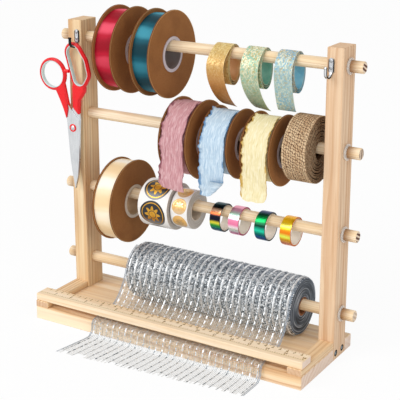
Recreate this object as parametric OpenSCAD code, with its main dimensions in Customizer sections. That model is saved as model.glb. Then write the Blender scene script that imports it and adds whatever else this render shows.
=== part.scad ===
// Counter ribbon rack. Two posts on a base board carry four turning rods, threaded with
// spools, rolls and tapes, and a ruler bar stands over a slot along the front edge.
// +X points right, +Y back and +Z up. The origin is the middle of the base board's underside.

/* [Base board] */
// Width of the base board and of the ruler bar
base_w = 410; // [390:1:440]
// Depth of the base board from front to back
base_d = 146; // [142:1:165]
// Thickness of the base board
base_t = 18; // [16:0.5:22]
// Ease on the sawn edges
edge_ease = 0.8; // [0.4:0.1:1.2]

/* [Ruler bar] */
// Width of the strips that lift the ruler bar
strip_w = 20; // [14:0.5:22]
// Thickness of the strips, which is the height of the slot
strip_t = 9; // [8:0.5:12]
// Depth of the ruler bar from front to back
ruler_d = 24; // [20:0.5:28]
// Thickness of the ruler bar
ruler_t = 10; // [8:0.5:14]
// Setback of the ruler bar from the front edge of the base
ruler_setback = 1.5; // [0.5:0.5:4]

/* [Posts] */
// Width of a post along the rods
post_w = 22; // [20:0.5:26]
// Depth of a post from front to back
post_d = 35; // [30:0.5:40]
// Distance from the front edge of the base to the posts
post_setback = 91.5; // [86:0.5:98]
// Height of the posts above the axis of the top rod
post_rise = 24; // [18:0.5:30]
// Distance between the two screws of a post
screw_pitch = 19; // [15:0.5:21]
// Shank diameter of a post screw
screw_d = 4.5; // [4:0.1:5]
// Length of a post screw
screw_len = 45; // [40:1:55]

/* [Rods] */
// Diameter of a rod
rod_d = 15; // [13:0.5:16]
// Height from one rod to the next
rod_pitch = 107; // [104:0.5:116]
// Length of rod that stands out past each post
rod_overhang = 20; // [14:0.5:30]
// Radial clearance of a rod in its post holes
rod_play = 0.3; // [0.2:0.05:0.5]
// Diameter of a retaining ring
ring_d = 21; // [19:0.5:25]
// Thickness of a retaining ring
ring_t = 3; // [2:0.5:5]

/* [Hooks] */
// Width of a hook's screw plate
plate_w = 7; // [6:0.5:9]
// Height of a hook's screw plate
plate_h = 19; // [16:0.5:24]
// Thickness of the hook's metal
plate_t = 1.6; // [1.2:0.1:2]
// Drop from the top of the post to the hook's screw plate
plate_drop = 12.5; // [9:0.5:16]
// Inset of the hook from the post's inner edge to its middle
hook_inset = 6.5; // [5:0.5:10]
// Inner radius of the hook's bend
hook_r = 7; // [6:0.25:9]
// Width of the hook's bent tongue
tongue_w = 3.6; // [3:0.2:4]
// Rise of the hook's tip above the middle of its bend
tip_rise = 5.5; // [3:0.5:8]
// Shank diameter of a hook screw
tack_d = 2.4; // [2:0.1:2.6]

/* [Satin spools] */
// Diameter of a satin spool's flanges
satin_d = 116.5; // [100:0.5:122]
// Width of a satin spool over its flanges
satin_w = 30; // [26:0.5:33]
// Bore of a satin spool's core
satin_bore = 38.4; // [34:0.2:44]
// Wall of a spool core
core_wall = 4.4; // [2:0.2:5]
// Thickness of a kraft flange
flange_t = 1.5; // [1:0.1:2.5]
// Height of a flange above its satin ribbon
satin_rim = 5; // [2:0.5:10]
// Height of a flange above the cream ribbon, which is wound fuller
cream_rim = 2; // [1:0.5:10]

/* [Frilled spools] */
// Diameter of the pink spool's flanges
pink_d = 106; // [96:1:112]
// Bore of the pink spool's core
pink_bore = 41.8; // [36:0.2:46]
// Diameter of the blue and yellow spools' flanges
frill_d = 92; // [84:1:98]
// Width of a frilled spool over its flanges
frill_w = 41.5; // [38:0.5:44]
// Bore of the blue and yellow spools' cores
frill_bore = 37; // [32:0.2:40]
// Height of a flange above its frilled ribbon
frill_rim = 3; // [1.5:0.5:6]
// Length of a tail below the middle of its spool
tail_drop = 60; // [50:1:70]

/* [Coils and rolls] */
// Width of a glitter ribbon
coil_w = 26; // [20:0.5:28]
// Drop of a glitter coil's first loop
coil_drop = 43; // [39:0.5:46]
// Diameter of the burlap roll
burlap_d = 88; // [80:1:94]
// Width of the burlap roll
burlap_w = 33.4; // [28:0.2:36]
// Bore of the burlap roll
burlap_bore = 22; // [18:0.5:24]
// Diameter of the wide label roll
label_d = 66; // [58:1:72]
// Width of the wide label roll
label_w = 46.8; // [40:0.2:50]
// Diameter of the narrow label roll
slim_d = 54; // [48:1:60]
// Width of the narrow label roll
slim_w = 26; // [22:0.5:29]
// Bore of both label rolls
label_bore = 28; // [24:0.5:30]
// Diameter of a tape
tape_d = 39.2; // [38.4:0.2:44]
// Width of a tape
tape_w = 15; // [12:0.5:18]
// Bore of a tape's core
tape_bore = 33.6; // [30:0.2:34]
// Wall of a tape's or a label roll's core
paper_wall = 1.2; // [0.8:0.1:1.6]

/* [Mesh roll] */
// Diameter of the mesh roll
mesh_d = 79.4; // [72:0.2:84]
// Width of the mesh roll
mesh_w = 254; // [230:1:280]
// Bore of the mesh roll's tube
mesh_bore = 21; // [19.5:0.5:26]
// Wall of the mesh roll's tube
mesh_wall = 2; // [1.2:0.2:3]
// Reach of the mesh sheet past the base at its left edge
sheet_reach = 70; // [50:1:80]
// Extra reach of the sheet's left edge over its right edge
sheet_skew = 22; // [0:1:30]

/* [Scissors] */
// Thickness of the handles
handle_t = 7.5; // [7:0.25:10]
// Wall of the finger loops
loop_wall = 3.75; // [3:0.25:5]
// Wall of the grip inserts in the finger loops
grip_wall = 1.3; // [1:0.1:2]
// Thickness of a blade
blade_t = 1.8; // [1.4:0.1:2.2]
// Length of the blades below the pivot
blade_len = 88; // [78:1:92]
// Diameter of the pivot pin
pivot_d = 5; // [4:0.25:6]

/* [Hidden] */
$fn = 96;
RODS = 4;
// Clearances: a loose fit that is glued, a sliding seat, and a roll that hangs on its rod
fit_gap = 0.1;
seat_gap = 0.2;
hang_gap = 0.3;
pin_gap = 0.05;
// Gap between the mesh roll and the base board
mesh_lift = 0.6;
// Margin that a cut runs past the face it opens
cut = 1;

front_y = -base_d / 2;
post_y = front_y + post_setback;
rod_y = post_y + post_d / 2;
clear_w = base_w - 2 * post_w;
rod_low = base_t + mesh_lift + (mesh_d + mesh_bore - rod_d) / 2 - hang_gap;
post_h = rod_z(1) + post_rise;

// Height of a rod's axis, counted from the top
function rod_z(k) = rod_low + (RODS - k) * rod_pitch;
// Height of the middle of a roll whose bore hangs on a rod
function hang_z(k, bore) = rod_z(k) + rod_d / 2 + hang_gap - bore / 2;

// Sum of the first n numbers of a list
function total(list, n) = n <= 0 ? 0 : list[n - 1] + total(list, n - 1);
// Left side of roll i on a rod, where the free length is shared out in given parts
function spot(widths, parts, i) = -clear_w / 2 + total(widths, i)
    + (clear_w - total(widths, len(widths))) * total(parts, i + 1) / total(parts, len(parts));

// What each rod carries from left to right, and the parts of its free length between them
rod_1_widths = [satin_w, satin_w, coil_w, coil_w, coil_w];
rod_1_parts = [47, 29, 68.5, 20, 19.5, 44];
rod_2_widths = [frill_w, frill_w, frill_w, burlap_w];
rod_2_parts = [146, 15, 19, 15, 13];
rod_3_widths = [satin_w, label_w, slim_w, tape_w, tape_w, tape_w, tape_w];
rod_3_parts = [41.3, 27.7, 2, 31, 13, 24, 22, 43];
rod_4_parts = [81, 31];
function rod_1_x(i) = spot(rod_1_widths, rod_1_parts, i);
function rod_2_x(i) = spot(rod_2_widths, rod_2_parts, i);
function rod_3_x(i) = spot(rod_3_widths, rod_3_parts, i);
mesh_x = spot([mesh_w], rod_4_parts, 0);

WOOD = "burlywood";
KRAFT = "peru";

// Turns an outline of (y, z) into the side view of a bar along +X
module along_x() rotate([90, 0, 90]) children();
// Turns a solid about Z into one about X, with its base at the left
module about_x() rotate([0, 90, 0]) children();

// Rectangle with eased corners, from the origin
module eased_rect(a, b) {
    e = edge_ease;
    polygon([[e, 0], [a - e, 0], [a, e], [a, b - e], [a - e, b], [e, b], [0, b - e], [0, e]]);
}

// Bar with eased edges all round, from the origin
module eased_bar(size) {
    intersection() {
        linear_extrude(size.z) eased_rect(size.x, size.y);
        along_x() linear_extrude(size.x) eased_rect(size.y, size.z);
        translate([0, size.y, 0]) rotate([90, 0, 0])
            linear_extrude(size.y) eased_rect(size.x, size.z);
    }
}

// Post screws

screw_head_d = 2 * screw_d;
screw_head_h = 3;
screw_land = 0.6;
screw_tip = 5;
screw_sink = 0.4;
screw_recess = 0.9;

// Countersunk screw along +Z from its head; grow and open make the cut for it
module screw_shape(grow, open) {
    head = screw_head_d / 2 + grow;
    shank = screw_d / 2 + grow;
    rotate_extrude() polygon([
        [0, -open], [head, -open], [head, screw_land], [shank, screw_head_h],
        [shank, screw_len - screw_tip], [0, screw_len + grow]
    ]);
}

// Places a copy at each screw of one end, side -1 left or 1 right, pointing inwards
module at_post_screws(side) {
    for (row = [-1, 1])
        translate([side * (base_w / 2 - screw_sink), rod_y + row * screw_pitch / 2, base_t / 2])
            rotate([0, -90 * side, 0]) children();
}

module post_screws() {
    color("silver") for (side = [-1, 1]) at_post_screws(side) difference() {
        screw_shape(0, 0);
        for (turn = [0, 90]) rotate(turn)
            cube([screw_d, screw_recess, 2 * screw_recess], center = true);
    }
}

// Wooden frame

module base_board() {
    notch = [post_w + fit_gap + cut, post_d + 2 * fit_gap, base_t + 2 * cut];
    color(WOOD) difference() {
        translate([-base_w / 2, front_y, 0]) eased_bar([base_w, base_d, base_t]);
        for (side = [-1, 1]) {
            translate([side * (base_w + cut - post_w - fit_gap) / 2, rod_y, base_t / 2])
                cube(notch, center = true);
            at_post_screws(side) screw_shape(fit_gap, cut);
        }
    }
}

// Post at one end, side -1 left or 1 right
module post(side) {
    color(WOOD) difference() {
        translate([side * (base_w - post_w) / 2 - post_w / 2, post_y, 0])
            eased_bar([post_w, post_d, post_h]);
        for (k = [1:RODS]) translate([side * base_w / 2 - post_w - cut, rod_y, rod_z(k)])
            about_x() cylinder(d = rod_d + 2 * rod_play, h = 2 * (post_w + cut));
        at_post_screws(side) screw_shape(fit_gap, cut);
        at_hook_screws(side) tack_shape(fit_gap);
    }
}

module left_post() post(-1);
module right_post() post(1);

// Strip under one end of the ruler bar, from the front edge to the post
module strip(side) {
    color(WOOD) translate([side * (base_w - strip_w) / 2 - strip_w / 2, front_y, base_t])
        eased_bar([strip_w, post_setback, strip_t]);
}

module left_strip() strip(-1);
module right_strip() strip(1);

module ruler_bar() {
    color("cornsilk") translate([-base_w / 2, front_y + ruler_setback, base_t + strip_t])
        eased_bar([base_w, ruler_d, ruler_t]);
}

// Hooks

hook_top = post_h - plate_drop;
hook_z = hook_top - plate_h + plate_w / 2;
hook_y = post_y - plate_t - hook_r;
hook_x = clear_w / 2 + hook_inset;
hook_tip_d = 2.6;
tack_len = 11;
tack_head_d = 4.4;
tack_head_h = 1.2;
// Heights of a plate's two screws
tack_rows = [hook_z + plate_w / 2, hook_top - plate_w / 2];

// Small screw along +Y from the plate's front face; grow makes the cut for it
module tack_shape(grow) {
    shank = tack_d / 2 + grow;
    head = tack_head_d / 2;
    rotate([-90, 0, 0]) rotate_extrude() polygon([
        [0, -tack_head_h], [head / 2, -tack_head_h], [head, -tack_head_h / 3], [head, 0],
        [shank, 0], [shank, tack_len - tack_d], [0, tack_len + grow]
    ]);
}

module at_hook_screws(side) {
    for (z = tack_rows) translate([side * hook_x, post_y - plate_t, z]) children();
}

module hook_screws() color("gainsboro") for (side = [-1, 1]) at_hook_screws(side) tack_shape(0);

// Screw plate with a round-ended outline and a tongue that is bent up into a J
module hook(side) {
    color("silver") difference() {
        union() {
            translate([side * hook_x, post_y, 0]) rotate([90, 0, 0]) linear_extrude(plate_t) {
                for (z = [hook_z, hook_top - plate_w / 2]) translate([0, z]) circle(d = plate_w);
                translate([-plate_w / 2, hook_z]) square([plate_w, plate_h - plate_w]);
            }
            translate([side * hook_x - tongue_w / 2, hook_y, hook_z]) {
                along_x() linear_extrude(tongue_w) difference() {
                    circle(hook_r + plate_t);
                    circle(hook_r);
                    translate([-hook_r - 2 * plate_t, 0])
                        square([2 * hook_r + 4 * plate_t, hook_r + 2 * plate_t]);
                }
                translate([0, -hook_r - plate_t, 0]) cube([tongue_w, plate_t, tip_rise]);
                translate([0, -hook_r - plate_t / 2, tip_rise])
                    about_x() cylinder(d = hook_tip_d, h = tongue_w);
            }
        }
        at_hook_screws(side) tack_shape(fit_gap);
    }
}

module left_hook() hook(-1);
module right_hook() hook(1);

// Rods and their retaining rings

rod_ease = 0.8;
ring_ease = 0.8;

module rod(k) {
    len = base_w + 2 * rod_overhang;
    r = rod_d / 2;
    color("wheat") translate([-len / 2, rod_y, rod_z(k)]) about_x() rotate_extrude() polygon([
        [0, 0], [r - rod_ease, 0], [r, rod_ease],
        [r, len - rod_ease], [r - rod_ease, len], [0, len]
    ]);
}

// Pair of rings that grip one rod outside the posts
module rings(k) {
    inner = rod_d / 2 + pin_gap;
    outer = ring_d / 2;
    for (side = [-1, 1])
        color("aliceblue") translate([side * (base_w / 2 + seat_gap + ring_t / 2), rod_y, rod_z(k)])
            about_x() translate([0, 0, -ring_t / 2]) rotate_extrude() polygon([
                [inner, 0], [outer - ring_ease, 0], [outer, ring_ease],
                [outer, ring_t - ring_ease], [outer - ring_ease, ring_t], [inner, ring_t]
            ]);
}

module rod_1() rod(1);
module rod_2() rod(2);
module rod_3() rod(3);
module rod_4() rod(4);
module rings_1() rings(1);
module rings_2() rings(2);
module rings_3() rings(3);
module rings_4() rings(4);

// Spools

// Height of a core's end above the flanges
core_proud = 0.8;
// Step at the free end of a wound ribbon
layer_step = 0.5;
winding_points = 72;
frill_waves = 22;
frill_depth = 1.2;

// Kraft spool from x: two flanges on a core
module spool(x, k, d, w, bore) {
    r0 = bore / 2;
    r1 = r0 + core_wall;
    color(KRAFT) translate([x, rod_y, hang_z(k, bore)]) about_x() rotate_extrude() polygon([
        [r0, -core_proud], [r1, -core_proud], [r1, 0], [d / 2, 0], [d / 2, flange_t],
        [r1, flange_t], [r1, w - flange_t], [d / 2, w - flange_t], [d / 2, w],
        [r1, w], [r1, w + core_proud], [r0, w + core_proud]
    ]);
}

// Wound outline that ends in one free layer
function winding(r) = [for (i = [0:winding_points - 1])
    let (a = 360 * i / winding_points, s = r - layer_step * (1 - i / winding_points))
    [s * cos(a), s * sin(a)]];
// Wound outline that rises and falls in shallow frills
function frilled(r) = [for (i = [0:2 * winding_points - 1])
    let (a = 180 * i / winding_points, s = r - frill_depth * (1 + sin(frill_waves * a)) / 2)
    [s * cos(a), s * sin(a)]];

// Wound ring from x: an outline with a round bore
module wound(x, z, w, outline, bore) {
    translate([x, rod_y, z]) along_x() linear_extrude(w) difference() {
        polygon(outline);
        circle(d = bore);
    }
}

// Ribbon between the flanges of a spool
module spool_ribbon(x, k, w, bore, outline) {
    wound(x + flange_t + seat_gap, hang_z(k, bore), w - 2 * (flange_t + seat_gap), outline,
        bore + 2 * (core_wall + seat_gap));
}

module satin_spool(x, k) spool(x, k, satin_d, satin_w, satin_bore);
module satin_ribbon(x, k, rim) spool_ribbon(x, k, satin_w, satin_bore, winding(satin_d / 2 - rim));

module red_spool() satin_spool(rod_1_x(0), 1);
module red_ribbon() color("crimson") satin_ribbon(rod_1_x(0), 1, satin_rim);
module teal_spool() satin_spool(rod_1_x(1), 1);
module teal_ribbon() color("teal") satin_ribbon(rod_1_x(1), 1, satin_rim);
module cream_spool() satin_spool(rod_3_x(0), 3);
module cream_ribbon() color("ivory") satin_ribbon(rod_3_x(0), 3, cream_rim);

module pink_spool() spool(rod_2_x(0), 2, pink_d, frill_w, pink_bore);
module pink_ribbon() color("lightpink")
    spool_ribbon(rod_2_x(0), 2, frill_w, pink_bore, frilled(pink_d / 2 - frill_rim));
module blue_spool() spool(rod_2_x(1), 2, frill_d, frill_w, frill_bore);
module blue_ribbon() color("lightskyblue")
    spool_ribbon(rod_2_x(1), 2, frill_w, frill_bore, frilled(frill_d / 2 - frill_rim));
module yellow_spool() spool(rod_2_x(2), 2, frill_d, frill_w, frill_bore);
module yellow_ribbon() color("khaki")
    spool_ribbon(rod_2_x(2), 2, frill_w, frill_bore, frilled(frill_d / 2 - frill_rim));

// Sheets: rows of points along a path, with a thickness

function unit(v) = v / norm(v);
// Tangent of a list of points at index i
function tangent(path, i) = unit(path[min(i + 1, len(path) - 1)] - path[max(i - 1, 0)]);
// Normal of a path of (y, z) points, in space, towards the left of its run
function path_normal(path, i) = let (t = tangent(path, i)) [0, -t.y, t.x];
// Points of a cubic curve
function cubic(a, b, c, d, n) = [for (i = [0:n])
    let (t = i / n, s = 1 - t) s * s * s * a + 3 * s * s * t * b + 3 * s * t * t * c + t * t * t * d];
// Points of an arc in (y, z), with angles counted from +Y towards +Z
function arc(centre, r, from, to, n) = [for (i = [0:n])
    let (a = from + (to - from) * i / n) centre + r * [cos(a), sin(a)]];

// Closed sheet over rows of middle points and their normals; a net leaves every other cell open
module sheet(rows, normals, t, net) {
    m = len(rows);
    n = len(rows[0]);
    points = [for (s = [t / 2, -t / 2]) for (i = [0:m - 1]) for (j = [0:n - 1])
        rows[i][j] + s * normals[i]];
    under = m * n;
    cells = [for (i = [0:m - 2]) for (j = [0:n - 2]) if (filled(i, j, m, n, net)) [i, j]];
    corners = [[0, 0], [1, 0], [1, 1], [0, 1]];
    neighbours = [[0, -1], [1, 0], [0, 1], [-1, 0]];
    faces = [for (c = cells)
        let (q = [for (k = corners) (c.x + k.x) * n + c.y + k.y])
        each concat(
            [[q[0], q[1], q[2]], [q[0], q[2], q[3]]],
            [[q[0], q[2], q[1]] + under * [1, 1, 1], [q[0], q[3], q[2]] + under * [1, 1, 1]],
            [for (e = [0:3]) if (!filled(c.x + neighbours[e].x, c.y + neighbours[e].y, m, n, net))
                let (a = q[e], b = q[(e + 1) % 4])
                each [[b, a, a + under], [b, a + under, b + under]]]
        )];
    polyhedron(points, faces);
}

// True where a sheet of m by n points has material in cell (i, j)
function filled(i, j, m, n, net) = i >= 0 && j >= 0 && i < m - 1 && j < n - 1
    && !(net && i % 2 == 1 && j % 2 == 1);

// Tails of the frilled ribbons

tail_t = 0.8;
tail_margin = 1;
tail_from = 100;
tail_arc_steps = 10;
tail_fall_steps = 14;
tail_columns = 6;
tail_frill = 2.2;
tail_waves = 4.5;
tail_sway = 2;

// Tail over the front of a wound ribbon of outer radius r, then down; slant lengthens its left edge
module tail(x, k, bore, r, slant, phase) {
    centre = [rod_y, hang_z(k, bore)];
    path_r = r + hang_gap + tail_t / 2;
    fall = [for (i = [1:tail_fall_steps]) let (f = i / tail_fall_steps)
        centre + [-path_r + tail_sway * f * sin(360 * f + phase), -tail_drop * f]];
    path = concat(arc(centre, path_r, tail_from, 180, tail_arc_steps), fall);
    last = len(path) - 1;
    width = frill_w - 2 * (flange_t + tail_margin);
    normals = [for (i = [0:last]) -path_normal(path, i)];
    rows = [for (i = [0:last]) [for (j = [0:tail_columns])
        let (
            u = 2 * j / tail_columns - 1,
            f = i / last,
            edge = tail_frill * pow(abs(u), 3) * (1 + sin(360 * tail_waves * f + phase + 90 * u)) / 2,
            down = slant * pow(f, 3) * (1 - u) / 2
        )
        [x + frill_w / 2 + u * width / 2, path[i].x, path[i].y - down] + edge * normals[i]]];
    sheet(rows, -normals, tail_t, false);
}

module pink_tail() color("lightpink")
    tail(rod_2_x(0), 2, pink_bore, pink_d / 2 - frill_rim, -3, 0);
module blue_tail() color("lightskyblue")
    tail(rod_2_x(1), 2, frill_bore, frill_d / 2 - frill_rim, 5, 120);
module yellow_tail() color("khaki")
    tail(rod_2_x(2), 2, frill_bore, frill_d / 2 - frill_rim, -1, 240);

// Strips wound on themselves

loop_points = 24;
strip_least_gap = 0.4;

// Outline of a strip of thickness t along a list of points
function strip_outline(path, t) = let (last = len(path) - 1, side = [for (i = [0:last])
        let (d = tangent(path, i)) [-d.y, d.x] * t / 2])
    concat([for (i = [0:last]) path[i] + side[i]], [for (i = [last:-1:0]) path[i] - side[i]]);
// Least gap between neighbouring loops of a strip, measured on its points
function least_gap(path, t) = min([for (i = [0:len(path) - 1])
    for (j = [i + floor(loop_points * 0.6):1:min(i + floor(loop_points * 1.4), len(path) - 1)])
    norm(path[i] - path[j])]) - t;

// Strip along a path of (y, z) points, of width w from x, whose gap to itself is printed
module wound_strip(name, x, w, path, t) {
    gap = least_gap(path, t);
    echo(name, least_gap_mm = gap);
    assert(gap > strip_least_gap, "loops too close");
    translate([x, 0, 0]) along_x() linear_extrude(w) polygon(strip_outline(path, t));
}

burlap_t = 1.6;
burlap_pitch = 2.2;

module burlap_roll() {
    centre = [rod_y, hang_z(2, burlap_bore)];
    inner = (burlap_bore + burlap_t) / 2;
    turns = ((burlap_d - burlap_t) / 2 - inner) / burlap_pitch;
    path = [for (i = [0:floor(turns * loop_points)])
        let (turn = i / loop_points, r = inner + burlap_pitch * turn)
        centre + r * [cos(360 * turn), sin(360 * turn)]];
    color("tan") wound_strip("burlap_roll", rod_2_x(3), burlap_w, path, burlap_t);
}

coil_t = 0.5;
coil_turns = 3;
coil_half = 13.5;
coil_step = 1.1;
coil_sag = 2.6;
coil_spread = 1.4;
// Bends of a coil's tail: plumb share of its drop, share of its reach it leans, share it lifts
coil_tail_plumb = 0.4;
coil_tail_lean = 0.4;
coil_tail_lift = 0.12;
coil_tail_steps = 9;

// Oval loops that hang on the top rod, of which the last swells by a belly and falls into a tail,
// whose end lies behind the rod and below it by the given distances
module coil(name, x, belly, back, fall) {
    top = rod_z(1) + rod_d / 2 + hang_gap + coil_t / 2;
    quarter = loop_points / 4;
    loops = [for (i = [0:coil_turns * loop_points + quarter])
        let (
            turn = i / loop_points,
            high = top + coil_step * turn,
            low = top - coil_drop - coil_sag * turn,
            swell = max(0, i - coil_turns * loop_points) / quarter,
            half = coil_half + coil_spread * turn + belly * (1 - cos(180 * swell)) / 2
        )
        [rod_y - half * sin(360 * turn), (high + low + (high - low) * cos(360 * turn)) / 2]];
    leave = loops[len(loops) - 1];
    end = [rod_y + back, rod_z(1) - fall];
    reach = end.x - leave.x;
    drop = leave.y - end.y;
    tail = cubic(leave, leave - [0, drop * coil_tail_plumb],
        end + [-reach * coil_tail_lean, drop * coil_tail_lift], end, coil_tail_steps);
    path = concat(loops, [for (i = [1:coil_tail_steps]) tail[i]]);
    wound_strip(name, x, coil_w, path, coil_t);
}

module gold_coil() color("goldenrod") coil("gold_coil", rod_1_x(2), 11, 11, 71.5);
module green_coil() color("seagreen") coil("green_coil", rod_1_x(3), 6, 18, 73);
module azure_coil() color("steelblue") coil("azure_coil", rod_1_x(4), 2.5, -6, 64);

// Label rolls and tapes

// Plain tube about X from x
module tube(x, z, w, bore, wall) {
    translate([x, rod_y, z]) about_x() rotate_extrude() translate([bore / 2, 0]) square([wall, w]);
}

// Roll of paper or film on a core of the given bore
module rolled(x, k, w, d, bore) {
    wound(x, hang_z(k, bore), w, winding(d / 2), bore + 2 * (paper_wall + seat_gap));
}

// Paper core of the given bore
module rolled_core(x, k, w, bore) tube(x, hang_z(k, bore), w, bore, paper_wall);

module label_core() color(KRAFT) rolled_core(rod_3_x(1), 3, label_w, label_bore);
module label_roll() color("white") rolled(rod_3_x(1), 3, label_w, label_d, label_bore);
module slim_core() color(KRAFT) rolled_core(rod_3_x(2), 3, slim_w, label_bore);
module slim_roll() color("white") rolled(rod_3_x(2), 3, slim_w, slim_d, label_bore);

module tape_core(i) color("white") rolled_core(rod_3_x(2 + i), 3, tape_w, tape_bore);
module tape(i, tint) color(tint) rolled(rod_3_x(2 + i), 3, tape_w, tape_d, tape_bore);

module tape_core_1() tape_core(1);
module tape_core_2() tape_core(2);
module tape_core_3() tape_core(3);
module tape_core_4() tape_core(4);
module tape_1() tape(1, "darkslategray");
module tape_2() tape(2, "pink");
module tape_3() tape(3, "darkgreen");
module tape_4() tape(4, "gold");

// Mesh roll and the sheet that it pays out

mesh_z = hang_z(RODS, mesh_bore);
sheet_t = 0.6;
strand_w = 1.2;
sheet_columns = 20;
// Angles between which the sheet lies on the roll, from the back over the top
sheet_from = 105;
sheet_leave = 168;
sheet_arc_steps = 5;
// Gap between the roll and the sheet
sheet_lift = 0.6;
sheet_sag_steps = 4;
// Bends of the sheet between the roll and the slot: direction and shares of its drop and reach
sheet_pull = [-0.3, -0.95];
sheet_drop_share = 0.7;
sheet_reach_share = 0.45;
// Lowest place of the sheet's middle above the table
sheet_floor = 0.6;
// Distance at which the sheet falls in front of the base
sheet_stand = 3;
// Fall of the sheet from the base's edge to the table: steps out from the edge
sheet_steps = [1.5, 6, 14];
// Height of the sheet halfway down the fall as a share of the base, and near the table
sheet_mid_share = 0.45;
sheet_low = 2.5;
// Dip of the sheet under the ruler bar and over the base's edge
sheet_dip = 1;
// Sideways spread of the sheet's left edge in the slot, and of its corner on the table
sheet_spread = 5;
sheet_flare = 14;

module mesh_core() color("saddlebrown") tube(mesh_x, mesh_z, mesh_w, mesh_bore, mesh_wall);
module mesh_roll() color("lightsteelblue")
    wound(mesh_x, mesh_z, mesh_w, winding(mesh_d / 2), mesh_bore + 2 * (mesh_wall + seat_gap));

// Net over the front of the roll, under the ruler bar, down the base's edge and out on the table
module mesh_sheet() {
    centre = [rod_y, mesh_z];
    path_r = mesh_d / 2 + sheet_lift + sheet_t / 2;
    slot_z = base_t + strip_t / 2;
    slot_y = front_y + ruler_setback + ruler_d;
    over = arc(centre, path_r, sheet_from, sheet_leave, sheet_arc_steps);
    leave = over[sheet_arc_steps];
    slot = [slot_y, slot_z];
    sag = cubic(leave, leave + sheet_pull * (leave.y - slot_z) * sheet_drop_share,
        slot + [(leave.x - slot_y) * sheet_reach_share, 0], slot, sheet_sag_steps);
    edge = [front_y - sheet_stand, base_t - sheet_dip];
    path = concat(
        over,
        [for (i = [1:sheet_sag_steps]) sag[i]],
        [
            [front_y + sheet_stand, slot_z - sheet_dip],
            edge,
            [edge.x - sheet_steps[0], base_t * sheet_mid_share],
            [edge.x - sheet_steps[1], sheet_low],
            [edge.x - sheet_steps[2], sheet_floor],
            [front_y - sheet_reach, sheet_floor]
        ]
    );
    last = len(path) - 1;
    pitch = (mesh_w - 2 * strand_w) / sheet_columns;
    columns = [for (j = [0:sheet_columns]) each [j * pitch, j * pitch + strand_w]];
    rows = [for (i = [0:last]) for (s = [-0.5, 0.5]) [for (c = columns)
        let (
            share = c / mesh_w,
            out = i == last ? 1 : 0,
            slid = min(max((i - sheet_arc_steps) / sheet_sag_steps, 0), 1),
            spread = i == last ? sheet_flare : sheet_spread * slid,
            p = path[i] + s * strand_w * tangent(path, i)
        )
        [mesh_x + c - spread * (1 - share), p.x + out * sheet_skew * share, p.y]]];
    normals = [for (i = [0:last]) for (s = [0, 1]) path_normal(path, i)];
    color("gainsboro") sheet(rows, normals, sheet_t, true);
}

// Scissors, drawn about their pivot with the blades down

// Finger loops as rounds of (x, y, radius) inside the grip inserts
large_loop = [[4.2, 105.4, 9.8], [13, 92, 10.2], [16, 78, 10.7], [13.5, 71, 9.2]];
small_loop = [[-32.5, 72.5, 17.8]];
// Webs from the loops down to the blades, as chains of rounds
large_web = [[12, 57.5, 11.5], [7.2, 43, 6.8], [6.6, 31, 6], [10.2, 22.4, 2.2]];
small_web = [[-21, 57, 9.5], [-15.2, 41, 7.2], [-10.6, 27, 5.6], [-9.8, 14, 2.2]];
// Least radius of an eased web's end
web_least = 0.4;
// Stud on the small handle that meets the large one when the blades are shut
stud_at = [-13, 79];
stud_d = 5;
stud_len = 8.2;
handle_ease = 1.8;
blade_gap = 0.2;
pivot_head_d = 6.8;
pivot_head_h = 1.4;
grip_inset = 0.5;
grip_t = handle_t - 2 * grip_inset;
// Height of the hung loop's inside top, where its grip rests in the hook
hang_top = hook_z - sqrt(pow(hook_r, 2) - pow(grip_t / 2, 2)) + hang_gap + pin_gap;
loop_facets = 32;

// Outline round all circles of a list, grown by an amount
module around(rounds, grow) {
    hull() for (c = rounds) translate([c.x, c.y]) circle(c.z + grow, $fn = loop_facets);
}

// Outline along a chain of circles, grown by an amount
module chain(rounds, grow) {
    for (i = [0:len(rounds) - 2]) hull() for (c = [rounds[i], rounds[i + 1]])
        translate([c.x, c.y]) circle(max(c.z + grow, web_least), $fn = loop_facets);
}

// Places what is drawn in the scissors' own plane, front face towards -Y
module hung() {
    rest = large_loop[0];
    translate([-hook_x - rest.x, hook_y, hang_top - rest.y - rest.z]) rotate([90, 0, 0]) children();
}

// Handle outline, shrunk all round by an amount
module handle_outline(loop, web, shrink) {
    difference() {
        union() {
            around(loop, grip_wall + loop_wall - shrink);
            chain(web, -shrink);
        }
        around(loop, grip_wall + pin_gap);
    }
}

// Slab over the handle's outline with a stepped ease on both faces
module handle_slab(loop, web) {
    linear_extrude(handle_t - 2 * handle_ease, center = true) handle_outline(loop, web, 0);
    linear_extrude(handle_t, center = true) handle_outline(loop, web, handle_ease);
}

// Blade outlines: point, cutting side, tang and back
front_outline = [[0.8, -blade_len], [6.2, -68], [9.2, -40], [10.6, -8], [10.9, 11.5], [-1.5, 24.2],
    [-9.5, 36], [-14, 38], [-14.8, 30], [-12.6, 20], [-10, 11.5], [-8.4, -11], [-5.5, -50]];
back_outline = [[1, 0.6 - blade_len], [5.8, -68], [8.7, -40], [10, -8], [11.8, 13], [11.6, 24],
    [10.4, 40], [3.5, 42], [2.2, 33], [-2, 26], [-5, 12], [-7.4, -6], [-5, -48]];

// Blade in its own layer, level -1 behind or 1 in front, with the pivot's bore
module blade(outline, level) {
    color("silver") hung() translate([0, 0, level * (blade_gap + blade_t) / 2])
        linear_extrude(blade_t, center = true) difference() {
            polygon(outline);
            circle(d = pivot_d + 2 * pin_gap);
        }
}

// Handle with the slot that its blade's tang sits in; children are joined to it
module handle(loop, web, outline, level) {
    color("crimson") hung() difference() {
        union() {
            handle_slab(loop, web);
            children();
        }
        translate([0, 0, level * (blade_gap + blade_t) / 2])
            linear_extrude(blade_t + 2 * fit_gap, center = true) polygon(outline);
    }
}

module grip(loop) {
    color("lightcyan") hung() linear_extrude(grip_t, center = true) difference() {
        around(loop, grip_wall);
        around(loop, 0);
    }
}

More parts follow.
